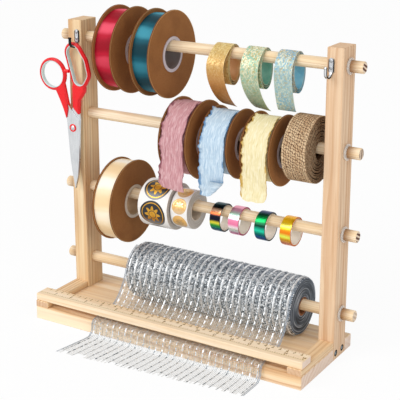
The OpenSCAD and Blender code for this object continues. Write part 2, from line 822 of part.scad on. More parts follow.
module large_handle() handle(large_loop, large_web, back_outline, -1);
module small_handle() handle(small_loop, small_web, front_outline, 1)
    translate(stud_at) about_x() cylinder(d = stud_d, h = stud_len, $fn = loop_facets);
module large_grip() grip(large_loop);
module small_grip() grip(small_loop);
module back_blade() blade(back_outline, -1);
module front_blade() blade(front_outline, 1);

// Pin with a low dome at the front and a flat head behind
module pivot_pin() {
    reach = blade_gap / 2 + blade_t + pin_gap;
    shank = pivot_d / 2;
    head = pivot_head_d / 2;
    color("gainsboro") hung() rotate_extrude() polygon([
        [0, -reach - pivot_head_h], [head, -reach - pivot_head_h], [head, -reach], [shank, -reach],
        [shank, reach], [head, reach], [head, reach + pivot_head_h / 2],
        [head / 2, reach + pivot_head_h], [0, reach + pivot_head_h]
    ]);
}

base_board();
left_post();
right_post();
left_strip();
right_strip();
ruler_bar();
post_screws();
left_hook();
right_hook();
hook_screws();
rod_1();
rod_2();
rod_3();
rod_4();
rings_1();
rings_2();
rings_3();
rings_4();
red_spool();
red_ribbon();
teal_spool();
teal_ribbon();
cream_spool();
cream_ribbon();
pink_spool();
pink_ribbon();
pink_tail();
blue_spool();
blue_ribbon();
blue_tail();
yellow_spool();
yellow_ribbon();
yellow_tail();
burlap_roll();
gold_coil();
green_coil();
azure_coil();
label_core();
label_roll();
slim_core();
slim_roll();
tape_core_1();
tape_core_2();
tape_core_3();
tape_core_4();
tape_1();
tape_2();
tape_3();
tape_4();
mesh_core();
mesh_roll();
mesh_sheet();
large_handle();
large_grip();
back_blade();
pivot_pin();
small_handle();
small_grip();
front_blade();
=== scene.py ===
"""Dresses a counter ribbon rack: pine frame, turning rods, spools, rolls and hung scissors."""

import logging
import math
import random
from dataclasses import dataclass, field
from enum import Enum
from typing import Any, Callable, Sequence

import bpy
from mathutils import Euler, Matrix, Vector, noise


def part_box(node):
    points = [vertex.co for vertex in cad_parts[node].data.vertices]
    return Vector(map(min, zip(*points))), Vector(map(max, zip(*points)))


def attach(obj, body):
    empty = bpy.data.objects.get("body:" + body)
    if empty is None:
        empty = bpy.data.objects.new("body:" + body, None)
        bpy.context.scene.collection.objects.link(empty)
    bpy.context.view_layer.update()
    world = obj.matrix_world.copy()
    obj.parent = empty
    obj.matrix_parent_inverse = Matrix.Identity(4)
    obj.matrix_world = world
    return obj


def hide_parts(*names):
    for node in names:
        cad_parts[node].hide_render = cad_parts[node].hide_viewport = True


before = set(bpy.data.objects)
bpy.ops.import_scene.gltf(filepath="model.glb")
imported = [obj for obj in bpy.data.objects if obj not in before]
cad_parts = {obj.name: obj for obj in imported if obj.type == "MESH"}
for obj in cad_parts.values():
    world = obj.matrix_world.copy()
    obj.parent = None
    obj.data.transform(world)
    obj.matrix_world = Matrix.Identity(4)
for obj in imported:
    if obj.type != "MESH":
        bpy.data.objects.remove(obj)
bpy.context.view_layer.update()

LOG = logging.getLogger("ribbon_rack")
MM = 0.001
INCH = 0.0254
TURN = 2 * math.pi

Colour = str
Piece = bpy.types.Object
Place = Callable[[float, float], Vector]


def tint(code: Colour) -> tuple[float, ...]:
    """Turns a colour written as six hex digits into linear light.

    Args:
        code: Red, green and blue as on a screen.

    Returns:
        The three linear shares, and 1 for solid.
    """
    parts = [int(code[i:i + 2], 16) / 255 for i in (0, 2, 4)]
    return *(p / 12.92 if p <= 0.04045 else ((p + 0.055) / 1.055) ** 2.4 for p in parts), 1.0


class Axis(Enum):
    """The way that a piece of wood runs."""

    X = 0
    Y = 1
    Z = 2


class Sock:
    """A socket in a material that takes part in ordinary sums."""

    def __init__(self, graph: "Graph", socket: bpy.types.NodeSocket) -> None:
        """Keeps the graph and the socket."""
        self.graph = graph
        self.socket = socket

    def math(self, operation: str, *others: Any) -> "Sock":
        """Adds a Math node whose first value is this socket."""
        return self.graph.math(operation, self, *others)

    def __add__(self, other: Any) -> "Sock":
        """Adds a value."""
        return self.math("ADD", other)

    __radd__ = __add__

    def __sub__(self, other: Any) -> "Sock":
        """Takes a value off."""
        return self.math("SUBTRACT", other)

    def __rsub__(self, other: Any) -> "Sock":
        """Is taken off a value."""
        return self.graph.math("SUBTRACT", other, self)

    def __mul__(self, other: Any) -> "Sock":
        """Multiplies by a value."""
        return self.math("MULTIPLY", other)

    __rmul__ = __mul__

    def __truediv__(self, other: Any) -> "Sock":
        """Divides by a value."""
        return self.math("DIVIDE", other)

    def __mod__(self, other: Any) -> "Sock":
        """Wraps round at a value."""
        return self.math("FLOORED_MODULO", other)

    def __abs__(self) -> "Sock":
        """Drops the sign."""
        return self.math("ABSOLUTE")

    def __gt__(self, other: Any) -> "Sock":
        """Is 1 above a value and 0 below it."""
        return self.math("GREATER_THAN", other)

    def __lt__(self, other: Any) -> "Sock":
        """Is 1 below a value and 0 above it."""
        return self.math("LESS_THAN", other)

    def rise(self, low: float, high: float) -> "Sock":
        """Climbs smoothly from 0 at low to 1 at high."""
        return self.graph.node("ShaderNodeMapRange", {"interpolation_type": "SMOOTHSTEP"},
                               {"Value": self, "From Min": low, "From Max": high})


class Graph:
    """The node graph of a material or of the world."""

    def __init__(self, owner: bpy.types.Material | bpy.types.World) -> None:
        """Empties its owner's graph.

        Args:
            owner: The material or the world.
        """
        owner.use_nodes = True
        self.tree = owner.node_tree
        self.tree.nodes.clear()

    def node(self, kind: str, settings: dict[str, Any] | None = None,
             inputs: dict[Any, Any] | None = None, output: Any = 0) -> Sock:
        """Adds a node.

        Args:
            kind: The node's type.
            settings: Its settings, and a ramp's stops under that name.
            inputs: Values or sockets by the input's name or number.
            output: The name or number of the output that is wanted.

        Returns:
            That output.
        """
        made = self.tree.nodes.new(kind)
        for key, value in (settings or {}).items():
            if key == "stops":
                self._set_stops(made.color_ramp, value)
            else:
                setattr(made, key, value)
        for key, value in (inputs or {}).items():
            if isinstance(value, Sock):
                self.tree.links.new(value.socket, made.inputs[key])
            else:
                made.inputs[key].default_value = value
        return Sock(self, made.outputs[output])

    @staticmethod
    def _set_stops(ramp: bpy.types.ColorRamp, stops: Sequence[tuple[float, Colour]]) -> None:
        """Gives a ramp its stops.

        Args:
            ramp: The ramp.
            stops: Each stop's place and colour.
        """
        while len(ramp.elements) < len(stops):
            ramp.elements.new(1.0)
        for element, (place, colour) in zip(ramp.elements, stops):
            element.position = place
            element.color = tint(colour)

    def math(self, operation: str, *values: Any) -> Sock:
        """Adds a Math node over one to three values."""
        return self.node("ShaderNodeMath", {"operation": operation}, dict(enumerate(values)))

    def vector(self, x: Any, y: Any, z: Any) -> Sock:
        """Joins three values into a vector."""
        return self.node("ShaderNodeCombineXYZ", {}, {0: x, 1: y, 2: z})

    def split(self, vector: Sock) -> list[Sock]:
        """Parts a vector into its three values."""
        first = self.node("ShaderNodeSeparateXYZ", {}, {0: vector})
        return [Sock(self, output) for output in first.socket.node.outputs]

    def place(self) -> list[Sock]:
        """Gives the place on the piece in metres, as x, y and z."""
        return self.split(self.node("ShaderNodeTexCoord", {}, {}, "Object"))

    def facing(self) -> list[Sock]:
        """Gives the piece's own normal, as x, y and z."""
        return self.split(self.node("ShaderNodeTexCoord", {}, {}, "Normal"))

    def end_faces(self, low: float, high: float) -> Sock:
        """Is 1 on faces that look along X and 0 on those that look away from it."""
        return abs(self.facing()[0]).rise(low, high)

    def strip(self, long: float, wide: float) -> list[Sock]:
        """Gives the shares along a strip and across it, from its own map, and both in metres."""
        run, across, _ = self.split(self.node("ShaderNodeUVMap", {"uv_map": "UVMap"}))
        return [run, across, run * long, across * wide]

    def noise(self, x: Any, y: Any, z: Any, detail: float = 2.0, rough: float = 0.5) -> Sock:
        """Gives soft noise from 0 to 1 at a place that is already scaled."""
        return self.node("ShaderNodeTexNoise", {}, {
            "Vector": self.vector(x, y, z), "Scale": 1.0, "Detail": detail, "Roughness": rough})

    def speckle(self, scale: float, detail: float = 2.0, rough: float = 0.5) -> Sock:
        """Gives soft noise that is alike all over the piece, at a scale to the metre."""
        return self.noise(*(value * scale for value in self.place()), detail, rough)

    def chance(self, x: Any, y: Any = 0.0) -> Sock:
        """Gives one random value to each whole pair of numbers."""
        return self.node("ShaderNodeTexWhiteNoise", {"noise_dimensions": "2D"},
                         {"Vector": self.vector(x, y, 0.0)})

    def mix(self, share: Any, first: Any, second: Any, blend: str = "MIX") -> Sock:
        """Mixes two colours.

        Args:
            share: How much of the second colour.
            first: A colour or a socket.
            second: A colour or a socket.
            blend: The way of mixing.

        Returns:
            The mixed colour.
        """
        ends = [c if isinstance(c, Sock) else tint(c) for c in (first, second)]
        return self.node("ShaderNodeMix", {"data_type": "RGBA", "blend_type": blend},
                         {0: share, 6: ends[0], 7: ends[1]}, 2)

    def ramp(self, share: Sock, stops: Sequence[tuple[float, Colour]]) -> Sock:
        """Looks a share up in a list of colours."""
        return self.node("ShaderNodeValToRGB", {"stops": stops}, {0: share})

    def relief(self, height: Sock, depth: float, strength: float = 1.0) -> Sock:
        """Turns a height from 0 to 1 into a bumped normal of that depth in metres."""
        return self.node("ShaderNodeBump", {}, {
            "Height": height, "Distance": depth, "Strength": strength})

    def round(self, y: float, z: float) -> tuple[Sock, Sock]:
        """Gives the distance from an axis along X, and the share of a turn round it.

        Args:
            y: Where the axis lies from front to back.
            z: How high the axis lies.

        Returns:
            The distance in metres and the share from 0 to 1, which goes from the back over the top.
        """
        _, back, up = self.place()
        back, up = back - y, up - z
        reach = (back * back + up * up).math("SQRT")
        return reach, up.math("ARCTAN2", back) / TURN % 1.0

    def surface(self, **inputs: Any) -> None:
        """Ends the graph in a surface; underscores in the names stand for spaces."""
        named = {key.replace("_", " "): value for key, value in inputs.items()}
        self.end(self.node("ShaderNodeBsdfPrincipled", {}, named))

    def end(self, shader: Sock, kind: str = "ShaderNodeOutputMaterial") -> None:
        """Links a shader to the graph's output."""
        self.tree.links.new(shader.socket, self.tree.nodes.new(kind).inputs["Surface"])


@dataclass(frozen=True)
class Finish:
    """A named finish, which keeps the name of one slot of the record."""

    name: str
    slot: str

    def material(self) -> bpy.types.Material:
        """Gives the finish's material, which is made once.

        Returns:
            The material.
        """
        made = bpy.data.materials.get(self.name)
        if made is None:
            made = bpy.data.materials.new(self.name)
            self.paint(Graph(made))
        return made

    def paint(self, graph: Graph) -> None:
        """Draws the material."""
        raise NotImplementedError

    def on_node(self, *nodes: str) -> None:
        """Gives this finish to nodes of the frame.

        Args:
            nodes: Their names.
        """
        for name in nodes:
            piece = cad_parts[name]
            if not piece.material_slots:
                piece.data.materials.append(None)
            for place in piece.material_slots:
                place.material = self.material()

    def on_piece(self, piece: Piece, *others: "Finish") -> None:
        """Gives this finish, and others for further slots, to a new piece.

        Args:
            piece: The piece.
            others: Finishes for its further slots.
        """
        piece.data.materials.clear()
        for finish in (self, *others):
            piece.data.materials.append(finish.material())


@dataclass(frozen=True)
class Pine(Finish):
    """Planed pine with year rings about a pith line."""

    along: Axis
    pith: tuple[float, float]
    ring: float
    pale: Colour
    tan: Colour
    late: Colour
    end: Colour
    depth: float
    cut: float = 0.6
    relief: tuple[float, float] = (0.25 * MM, 0.35)

    def grain(self, graph: Graph) -> tuple[Sock, Sock, Sock]:
        """Draws the wood.

        Args:
            graph: The material's graph.

        Returns:
            Its colour, its roughness and its height.
        """
        place, facing = graph.place(), graph.facing()
        run, one, two = (place[(self.along.value + step) % 3] for step in range(3))
        drift = graph.noise(run * 3, one * 18, two * 18)
        one_off, two_off = one - self.pith[0], two - self.pith[1]
        reach = (one_off * one_off + two_off * two_off).math("SQRT") + (drift - 0.5) * (self.ring * 3.4)
        year = reach / self.ring
        part = year % 1.0
        late = part.rise(0.35, 0.88) * (1 - part.rise(0.9, 1.0))
        late = late * (0.3 + 0.7 * graph.chance(year.math("FLOOR")))
        fibre = graph.noise(run * 26, one * 1500, two * 1500, 3.0, 0.6)
        streak = graph.noise(run * 4, one * 130, two * 130, 3.0, 0.6)
        vein = graph.noise(run * 9, one * 520, two * 520)
        cut = abs(facing[self.along.value]).rise(0.7, 0.95)
        colour = graph.mix(streak.rise(0.32, 0.68), self.pale, self.tan)
        colour = graph.mix(cut * self.cut, colour, self.end)
        colour = graph.mix(late * (self.depth - cut * 0.3), colour, self.late)
        colour = graph.mix(vein.rise(0.56, 0.74) * 0.3, colour, self.late)
        colour = graph.mix(fibre.rise(0.45, 0.8) * 0.3, colour, self.tan, "MULTIPLY")
        return colour, 0.5 + fibre * 0.2 - late * 0.06, fibre * 0.5 + late * 0.5

    def close(self, graph: Graph, colour: Sock, rough: Sock, height: Sock, **more: float) -> None:
        """Ends the graph in planed wood."""
        graph.surface(Base_Color=colour, Roughness=rough, Normal=graph.relief(height, *self.relief), **more)

    def paint(self, graph: Graph) -> None:
        """Draws plain wood."""
        self.close(graph, *self.grain(graph))


@dataclass(frozen=True)
class BasePine(Pine):
    """Pine board with painted light on its front towards its left end."""

    left: float = 0.0
    reach: float = 260 * MM
    # Tone and share of the painted light on the front
    light: Colour = "fde9cb"
    bleached: float = 0.75

    def paint(self, graph: Graph) -> None:
        """Draws the wood and the painted light on its front.

        Args:
            graph: The material's graph.
        """
        colour, rough, height = self.grain(graph)
        front = (graph.facing()[1] * -1).rise(0.7, 0.95)
        share = 1 - graph.place()[0].rise(self.left, self.left + self.reach)
        # Painted light on the front, strongest at the left end
        colour = graph.mix(front * share * self.bleached, colour, self.light)
        self.close(graph, colour, rough, height)


@dataclass(frozen=True)
class RodPine(Pine):
    """Pine dowel with bold year rings on its sawn ends, and painted shade beside the posts."""

    face: float = 200 * MM
    lean: float = 0.6
    bold: float = 0.9
    band: float = 5.0 * MM
    ring_tone: Colour = "52240f"
    # Painted shade on the barrel beside the posts: its tone, where it is full and how far it reaches
    stain: Colour = "83501f"
    stain_full: float = 2 * MM
    stain_reach: float = 20 * MM

    def paint(self, graph: Graph) -> None:
        """Draws the wood, the rings of its ends and the painted shade outside the posts.

        Args:
            graph: The material's graph.
        """
        colour, rough, height = self.grain(graph)
        x, y, z = graph.place()
        cut = graph.end_faces(0.7, 0.95)
        sway = graph.noise(y * 260, z * 260, x * 40)
        ring = (y * math.cos(self.lean) + z * math.sin(self.lean)) / self.band + sway * 0.3
        late = abs(ring % 1.0 - 0.5).rise(0.2, 0.26)
        past = abs(x) - self.face
        # Painted shade on the barrel just outside each post, fading away from it
        near = (past > 0.0) * (1 - past.rise(self.stain_full, self.stain_reach))
        colour = graph.mix(near * (1 - cut) * 0.85, colour, self.stain)
        colour = graph.mix(late * cut * self.bold, colour, self.ring_tone)
        self.close(graph, colour, rough, height, Specular_IOR_Level=0.1)


@dataclass(frozen=True)
class RulerPine(Pine):
    """Pale pine with the ticks of a centimetre scale and an inch scale printed on its top."""

    left: float = 0.0
    back: float = 0.0
    deep: float = 24 * MM
    ink: Colour = "9a7824"
    rule: Colour = "b9b06a"
    rule_rows: tuple[float, float] = (0.68, 0.72)
    relief: tuple[float, float] = (0.2 * MM, 0.3)
    # Each row's pitch and thickness, and its ticks' top and foot as shares of the depth
    rows: tuple[tuple[float, float, float, float], ...] = (
        (5 * MM, 0.8 * MM, 0.03, 0.1), (10 * MM, 1.3 * MM, 0.03, 0.16), (INCH / 8, 0.5 * MM, 0.62, 0.69),
        (INCH / 2, 0.8 * MM, 0.58, 0.69), (INCH, 1.2 * MM, 0.52, 0.69))

    def paint(self, graph: Graph) -> None:
        """Draws the wood, its ticks and the line under the inches.

        Args:
            graph: The material's graph.
        """
        colour, rough, height = self.grain(graph)
        x, y, _ = graph.place()
        run, down = x - self.left, (self.back - y) / self.deep
        printed: Any = 0.0
        for pitch, thick, head, foot in self.rows:
            near = abs((run / pitch + 0.5) % 1.0 - 0.5) < thick / pitch / 2
            printed = (near * (down > head) * (down < foot)).math("MAXIMUM", printed)
        line = (down > self.rule_rows[0]) * (down < self.rule_rows[1])
        top = graph.facing()[2] > 0.9
        colour = graph.mix(line * top * 0.5, colour, self.rule)
        colour = graph.mix(printed * top * 0.9, colour, self.ink)
        self.close(graph, colour, rough, height)


@dataclass(frozen=True)
class Kraft(Finish):
    """Brown board of a spool, with a bound rim, a painted highlight in a band just inside it, and a pale
    core.
    """

    centre: tuple[float, float]
    rim: float
    core: float
    bore: float
    board: Colour = "9b6739"
    dark: Colour = "6c4020"
    edge: Colour = "7a4824"
    hub: Colour = "d3c9ce"
    inside: Colour = "9a9ca0"
    fleck: Colour = "b98a58"
    # Tone of the painted highlight just inside the rim
    lip: Colour = "c39764"
    wound: Colour = "9d9297"

    def paint(self, graph: Graph) -> None:
        """Draws fibres, the rim and the core by their distance from the axis.

        Args:
            graph: The material's graph.
        """
        reach, turn = graph.round(*self.centre)
        side = graph.end_faces(0.5, 0.9)
        fibre = graph.speckle(900, 4.0, 0.65)
        cloud = graph.speckle(40)
        fleck = graph.speckle(420, 3.0, 0.7)
        colour = graph.mix(fibre.rise(0.35, 0.75) * 0.4, self.board, self.dark)
        colour = graph.mix(cloud.rise(0.4, 0.75) * 0.3, colour, self.dark)
        colour = graph.mix(fleck.rise(0.62, 0.75) * 0.35, colour, self.fleck)
        ply = graph.noise(graph.place()[0] * 9000, turn * 40, 0.0)
        colour = graph.mix(1 - side, colour, graph.mix(ply, self.edge, self.dark))
        # Painted highlight in a band just inside the rim, on the board's faces
        lip = reach.rise(self.rim - 1.5 * MM, self.rim - 0.7 * MM)
        colour = graph.mix(lip * side * 0.75, colour, self.lip)
        wound = graph.noise(reach * 4000, turn * 12, 0.0)
        hub = graph.mix(wound * 0.45, self.hub, self.wound)
        colour = graph.mix(1 - reach.rise(self.core - 0.15 * MM, self.core + 0.15 * MM), colour, hub)
        hollow = (1 - side) * (1 - reach.rise(self.bore + 0.3 * MM, self.bore + 0.8 * MM))
        colour = graph.mix(hollow, colour, graph.mix(cloud, self.inside, self.dark))
        graph.surface(Base_Color=colour, Roughness=0.72 + fibre * 0.2, Specular_IOR_Level=0.2,
                      Normal=graph.relief(fibre, 0.15 * MM, 0.5))


@dataclass(frozen=True)
class Satin(Finish):
    """Wound satin with fine threads round the spool."""

    base: Colour
    # deep is the darker tone and also the painted shade between the bands; glow is the painted highlight
    deep: Colour
    glow: Colour
    centre: tuple[float, float]
    right: float
    # Number of painted highlight bands round the spool
    bands: float = 7.0

    def paint(self, graph: Graph) -> None:
        """Draws the threads, painted highlight bands with painted shade between them round the spool, and a
        painted highlight along the right edge.

        Args:
            graph: The material's graph.
        """
        x = graph.place()[0]
        turn = graph.round(*self.centre)[1]
        thread = graph.noise(turn * 90, x * 9000, 0.0)
        streak = graph.noise(turn * 5, x * 90, 7.0)
        sway = graph.noise(turn * 6, x * 20, 3.0) - 0.5
        # Painted highlight bands round the spool, fading lower down, with painted shade between them
        wave = (((turn - 0.25) * self.bands + sway * 0.35) * TURN).math("COSINE") * 0.5 + 0.5
        fade = 1 - turn.rise(0.42, 0.56) * 0.65
        colour = graph.mix(streak.rise(0.35, 0.75) * 0.2, self.base, self.deep)
        colour = graph.mix(1 - wave.rise(0.0, 0.6), colour, self.deep)
        colour = graph.mix(wave.rise(0.55, 1.0) * fade, colour, self.glow)
        colour = graph.mix(thread * 0.12, colour, self.deep)
        # Painted highlight along the ribbon's right edge
        edge_highlight = x.rise(self.right - 1.5 * MM, self.right - 0.9 * MM)
        colour = graph.mix(edge_highlight * 0.4, colour, self.glow)
        graph.surface(Base_Color=colour, Roughness=0.45 + thread * 0.12, Specular_IOR_Level=0.1,
                      Normal=graph.relief(thread * 0.4 + streak * 0.6, 0.1 * MM, 0.3))


@dataclass(frozen=True)
class Gauze(Finish):
    """Crinkled frilled ribbon with painted shade and highlights on its crinkles, deeper along its edges in
    its own colour and in painted shade.
    """

    base: Colour
    # fold is painted shade in the crinkles, pale a painted highlight on their creases, edge the deeper edge
    # colour and painted shade
    fold: Colour
    pale: Colour
    edge: Colour
    wide: float
    long: float
    edge_share: float = 0.07

    def paint(self, graph: Graph) -> None:
        """Draws crinkles that run with the ribbon, with painted shade in their folds and painted highlights
        on their creases, a fine weave, and the edges with painted shade where they tuck under.

        Args:
            graph: The material's graph.
        """
        _, across, far, wide = graph.strip(self.long, self.wide)
        sway = graph.noise(far * 90, wide * 60, 2.0)
        crinkle = graph.noise(far * 55, wide * 620 + sway * 3.0, 1.0, 3.0, 0.6)
        crease = graph.noise(far * 75, wide * 480 + sway * 2.5, 5.0, 3.0, 0.6)
        weave = ((far * 3600).math("SINE") * (wide * 2900).math("SINE")) * 0.5 + 0.5
        rim = abs(across * 2 - 1).rise(1 - 2 * self.edge_share, 1.0)
        # Painted shade where the edges tuck under
        tuck = graph.noise(far * 55, (across > 0.5) * 7.0, 8.0).rise(0.5, 0.58)
        tuck_shade = abs(across * 2 - 1).rise(1 - 3.4 * self.edge_share, 1 - 2.2 * self.edge_share) * tuck
        # Painted shade in the crinkles' folds and painted highlights on their creases
        colour = graph.mix(crinkle.rise(0.28, 0.5) * 0.75 + 0.25, self.fold, self.base)
        colour = graph.mix(crease.rise(0.46, 0.64) * 0.8, colour, self.pale)
        colour = graph.mix(weave * 0.15, colour, self.fold)
        # Edges: partly the ribbon's own deeper colour, partly painted shade from the flanges
        colour = graph.mix(rim * (0.45 + 0.5 * sway), colour, self.edge)
        colour = graph.mix(tuck_shade * 0.75, colour, self.edge)
        height = crinkle * 0.6 + crease * 0.3 + weave * 0.1
        graph.surface(Base_Color=colour, Roughness=0.85 + crinkle * 0.12, Specular_IOR_Level=0.2,
                      Normal=graph.relief(height, 0.8 * MM, 0.8))


@dataclass(frozen=True)
class Jute(Finish):
    """Coarse plain weave of jute with bound edges, and painted shade between its threads and between its
    turns.
    """

    wide: float
    long: float
    last: float
    straw: Colour = "ad845d"
    pale: Colour = "e6cba6"
    # Tone of the painted shade in the gaps between threads and between the turns
    gap: Colour = "4f311c"
    warp: float = 3.3 * MM
    weft: float = 4.0 * MM

    def paint(self, graph: Graph) -> None:
        """Draws threads over and under each other, painted shade in the gaps between them, and the shade
        between the turns.

        Args:
            graph: The material's graph.
        """
        run, across, far, wide = graph.strip(self.long, self.wide)
        shake = graph.noise(far * 150, wide * 150, 0.0)
        lane = wide / self.warp + shake * 2.0
        pick = far / self.weft + shake * 1.7 + wide * 90
        one = abs((lane * math.pi).math("SINE"))
        two = abs((pick * math.pi).math("SINE"))
        over = ((lane.math("FLOOR") + pick.math("FLOOR")) % 2.0) * 0.6 + 0.4
        height = (one * over).math("MAXIMUM", two * (1.4 - over))
        shade = graph.chance(lane.math("FLOOR")) * 0.5 + graph.chance(pick.math("FLOOR"), 3.0) * 0.5
        hair = graph.noise(far * 420, wide * 700, 4.0, 3.0, 0.7)
        rim = abs(across * 2 - 1).rise(0.9, 0.97)
        colour = graph.mix(shade * 0.5 + hair.rise(0.35, 0.65) * 0.6, self.straw, self.pale)
        # Painted shade in the gaps between the threads, less along the edges
        colour = graph.mix((1 - height.rise(0.25, 0.75)) * (1 - rim * 0.5) * 0.9, colour, self.gap)
        buried = (1 - run.rise(1 - self.last, 1 - self.last * 0.9)) * (1 - rim * 0.5)
        colour = graph.mix(buried * 0.85, colour, self.gap)
        graph.surface(Base_Color=colour, Roughness=0.92, Specular_IOR_Level=0.15,
                      Normal=graph.relief(height + hair * 0.3, 1.0 * MM, 0.9))


@dataclass(frozen=True)
class Glitter(Finish):
    """Ribbon strewn with metal flakes."""

    base: Colour
    flake: Colour
    accent: Colour
    shade: Colour
    low: Colour
    turned: float
    spark: Colour = "c9953a"
    wide: float = 26 * MM
    long: float = 0.4
    shine: float = 0.5
    mixed: float = 0.0
    strewn: float = 1.0

    def paint(self, graph: Graph) -> None:
        """Draws flakes that each catch the light in their own way, and the tail that turns from it.

        Args:
            graph: The material's graph.
        """
        run, across, far, wide = graph.strip(self.long, self.wide)
        cell = graph.node("ShaderNodeTexVoronoi", {}, {
            "Vector": graph.vector(far, wide, 0.0), "Scale": 560.0}, "Color")
        red, green, blue = graph.split(cell)
        fine = graph.noise(far * 2600, wide * 2600, 0.0)
        thick = graph.noise(far * 60, wide * 60, 2.0).rise(0.32, 0.7)
        colour = graph.mix(green * (0.75 * self.strewn), self.base, self.shade)
        colour = graph.mix((red > 0.55) * (0.55 + 0.45 * thick) * self.strewn, colour, self.flake)
        colour = graph.mix((blue > 0.72) * (0.5 + 0.5 * thick) * self.strewn, colour, self.accent)
        colour = graph.mix((green > 0.8) * self.mixed, colour, self.spark)
        rim = abs(across * 2 - 1).rise(0.93, 0.99)
        colour = graph.mix(rim * 0.5, colour, self.flake)
        colour = graph.mix(run.rise(0.77, 0.94) * self.turned, colour, self.low)
        graph.surface(Base_Color=colour, Roughness=0.28 + green * 0.35,
                      Metallic=self.shine * (0.3 + 0.7 * red),
                      Normal=graph.relief(blue * 0.7 + fine * 0.3, 0.4 * MM, 0.6))


@dataclass(frozen=True)
class Lining(Finish):
    """Woven back of a ribbon."""

    base: Colour = "dd9f62"
    glow: Colour = "f4cd9a"
    wide: float = 25 * MM
    long: float = 0.4

    def paint(self, graph: Graph) -> None:
        """Draws ribs across the ribbon.

        Args:
            graph: The material's graph.
        """
        _, _, far, wide = graph.strip(self.long, self.wide)
        rib = (far * 6000).math("SINE") * 0.5 + 0.5
        cloud = graph.noise(far * 90, wide * 90, 0.0, 3.0)
        colour = graph.mix(rib * 0.25 + cloud.rise(0.4, 0.7) * 0.5, self.base, self.glow)
        graph.surface(Base_Color=colour, Roughness=0.42 + cloud * 0.2,
                      Normal=graph.relief(rib, 0.1 * MM, 0.5))


@dataclass(frozen=True)
class LabelPaper(Finish):
    """Backing paper with round labels on its outside and wound edges at its sides."""

    centre: tuple[float, float]
    outer: float
    middle: float
    spot: float
    count: int
    phase: float
    sticker: Colour = "17181c"
    motif: Colour = "e9b648"
    paper: Colour = "f6f4f1"
    edge: Colour = "c9c5c1"
    seam: Colour = "9d8c78"
    gleam: Colour = "c4c6c8"
    dull_gilt: Colour = "b97c22"
    petals: int = 8

    def paint(self, graph: Graph) -> None:
        """Draws the labels, a plain rosette on each, and the layers of the edge.

        Args:
            graph: The material's graph.
        """
        reach, turn = graph.round(*self.centre)
        side = graph.end_faces(0.6, 0.9)
        wide = graph.place()[0] - self.middle
        far = ((turn + self.phase) * self.count % 1.0 - 0.5) * (TURN * self.outer / self.count)
        away = (wide * wide + far * far).math("SQRT")
        angle = far.math("ARCTAN2", wide)
        petal = (angle * self.petals).math("COSINE") * 0.5 + 0.5
        disc = 1 - away.rise(self.spot - 0.25 * MM, self.spot + 0.1 * MM)
        ring = (away > self.spot * 0.8) * (away < self.spot * 0.86)
        leaf = (away > self.spot * 0.3) * (away < self.spot * (0.36 + 0.26 * petal))
        bloom = (away < self.spot * 0.25) + leaf
        gilt = ring.math("MAXIMUM", bloom.math("MINIMUM", 1.0)) * disc
        cloud = graph.speckle(300, 3.0)
        colour = graph.mix(cloud * 0.25, self.paper, self.edge)
        gleam = far.rise(self.spot * 0.1, self.spot) * 0.45
        colour = graph.mix(disc, colour, graph.mix(gleam, self.sticker, self.gleam))
        colour = graph.mix(gilt, colour, graph.mix(cloud, self.motif, self.dull_gilt))
        layer = graph.noise(reach * 3800, turn * 3, 0.0)
        wound = graph.mix(layer.rise(0.35, 0.7), self.edge, self.seam)
        colour = graph.mix(side, colour, wound)
        flat = 1 - side
        graph.surface(Base_Color=colour, Roughness=0.5 - disc * flat * 0.22, Metallic=gilt * flat * 0.9,
                      Normal=graph.relief(disc * flat * 0.6 + layer * side * 0.4, 0.2 * MM, 0.6))


@dataclass(frozen=True)
class Film(Finish):
    """Mirror film whose own colour and painted reflections run in bands round the roll."""

    centre: tuple[float, float]
    bands: tuple[tuple[float, Colour], ...]
    edge: Colour
    layers: Colour = "3c4248"

    def paint(self, graph: Graph) -> None:
        """Draws the bands of colour and painted reflection, and the wound edge.

        Args:
            graph: The material's graph.
        """
        reach, turn = graph.round(*self.centre)
        side = graph.end_faces(0.6, 0.9)
        drift = graph.noise(turn * 8, graph.place()[0] * 60, 0.0)
        share = turn + (drift - 0.5) * 0.02
        # Bands of the film's own colour and painted reflections, by the turn round the roll
        colour = graph.ramp(share, self.bands)
        layer = graph.noise(reach * 6000, turn * 4, 0.0)
        colour = graph.mix(side, colour, graph.mix(layer * 0.4, self.edge, self.layers))
        graph.surface(Base_Color=colour, Roughness=0.25 + side * 0.35, Metallic=0.7 - side * 0.6,
                      Specular_IOR_Level=0.3, Normal=graph.relief(drift, 0.2 * MM, 0.3))


@dataclass(frozen=True)
class Card(Finish):
    """Wound card of a tube."""

    base: Colour
    pale: Colour
    centre: tuple[float, float]
    outer: float = 1.0
    film: Colour = "0d1116"
    film_edge: float = 0.9 * MM

    def paint(self, graph: Graph) -> None:
        """Draws fibres, the wound layers of the end and the film's edge about it.

        Args:
            graph: The material's graph.
        """
        reach, turn = graph.round(*self.centre)
        fibre = graph.speckle(700, 4.0, 0.6)
        layer = graph.noise(reach * 3000, turn * 3, graph.place()[0] * 40)
        colour = graph.mix(fibre * 0.5 + layer * 0.5, self.base, self.pale)
        side = graph.end_faces(0.6, 0.9)
        inner = self.outer - self.film_edge
        rim = reach.rise(inner, inner + 0.2 * MM)
        colour = graph.mix(rim * side, colour, self.film)
        graph.surface(Base_Color=colour, Roughness=0.78 + fibre * 0.15,
                      Normal=graph.relief(fibre, 0.15 * MM, 0.4))


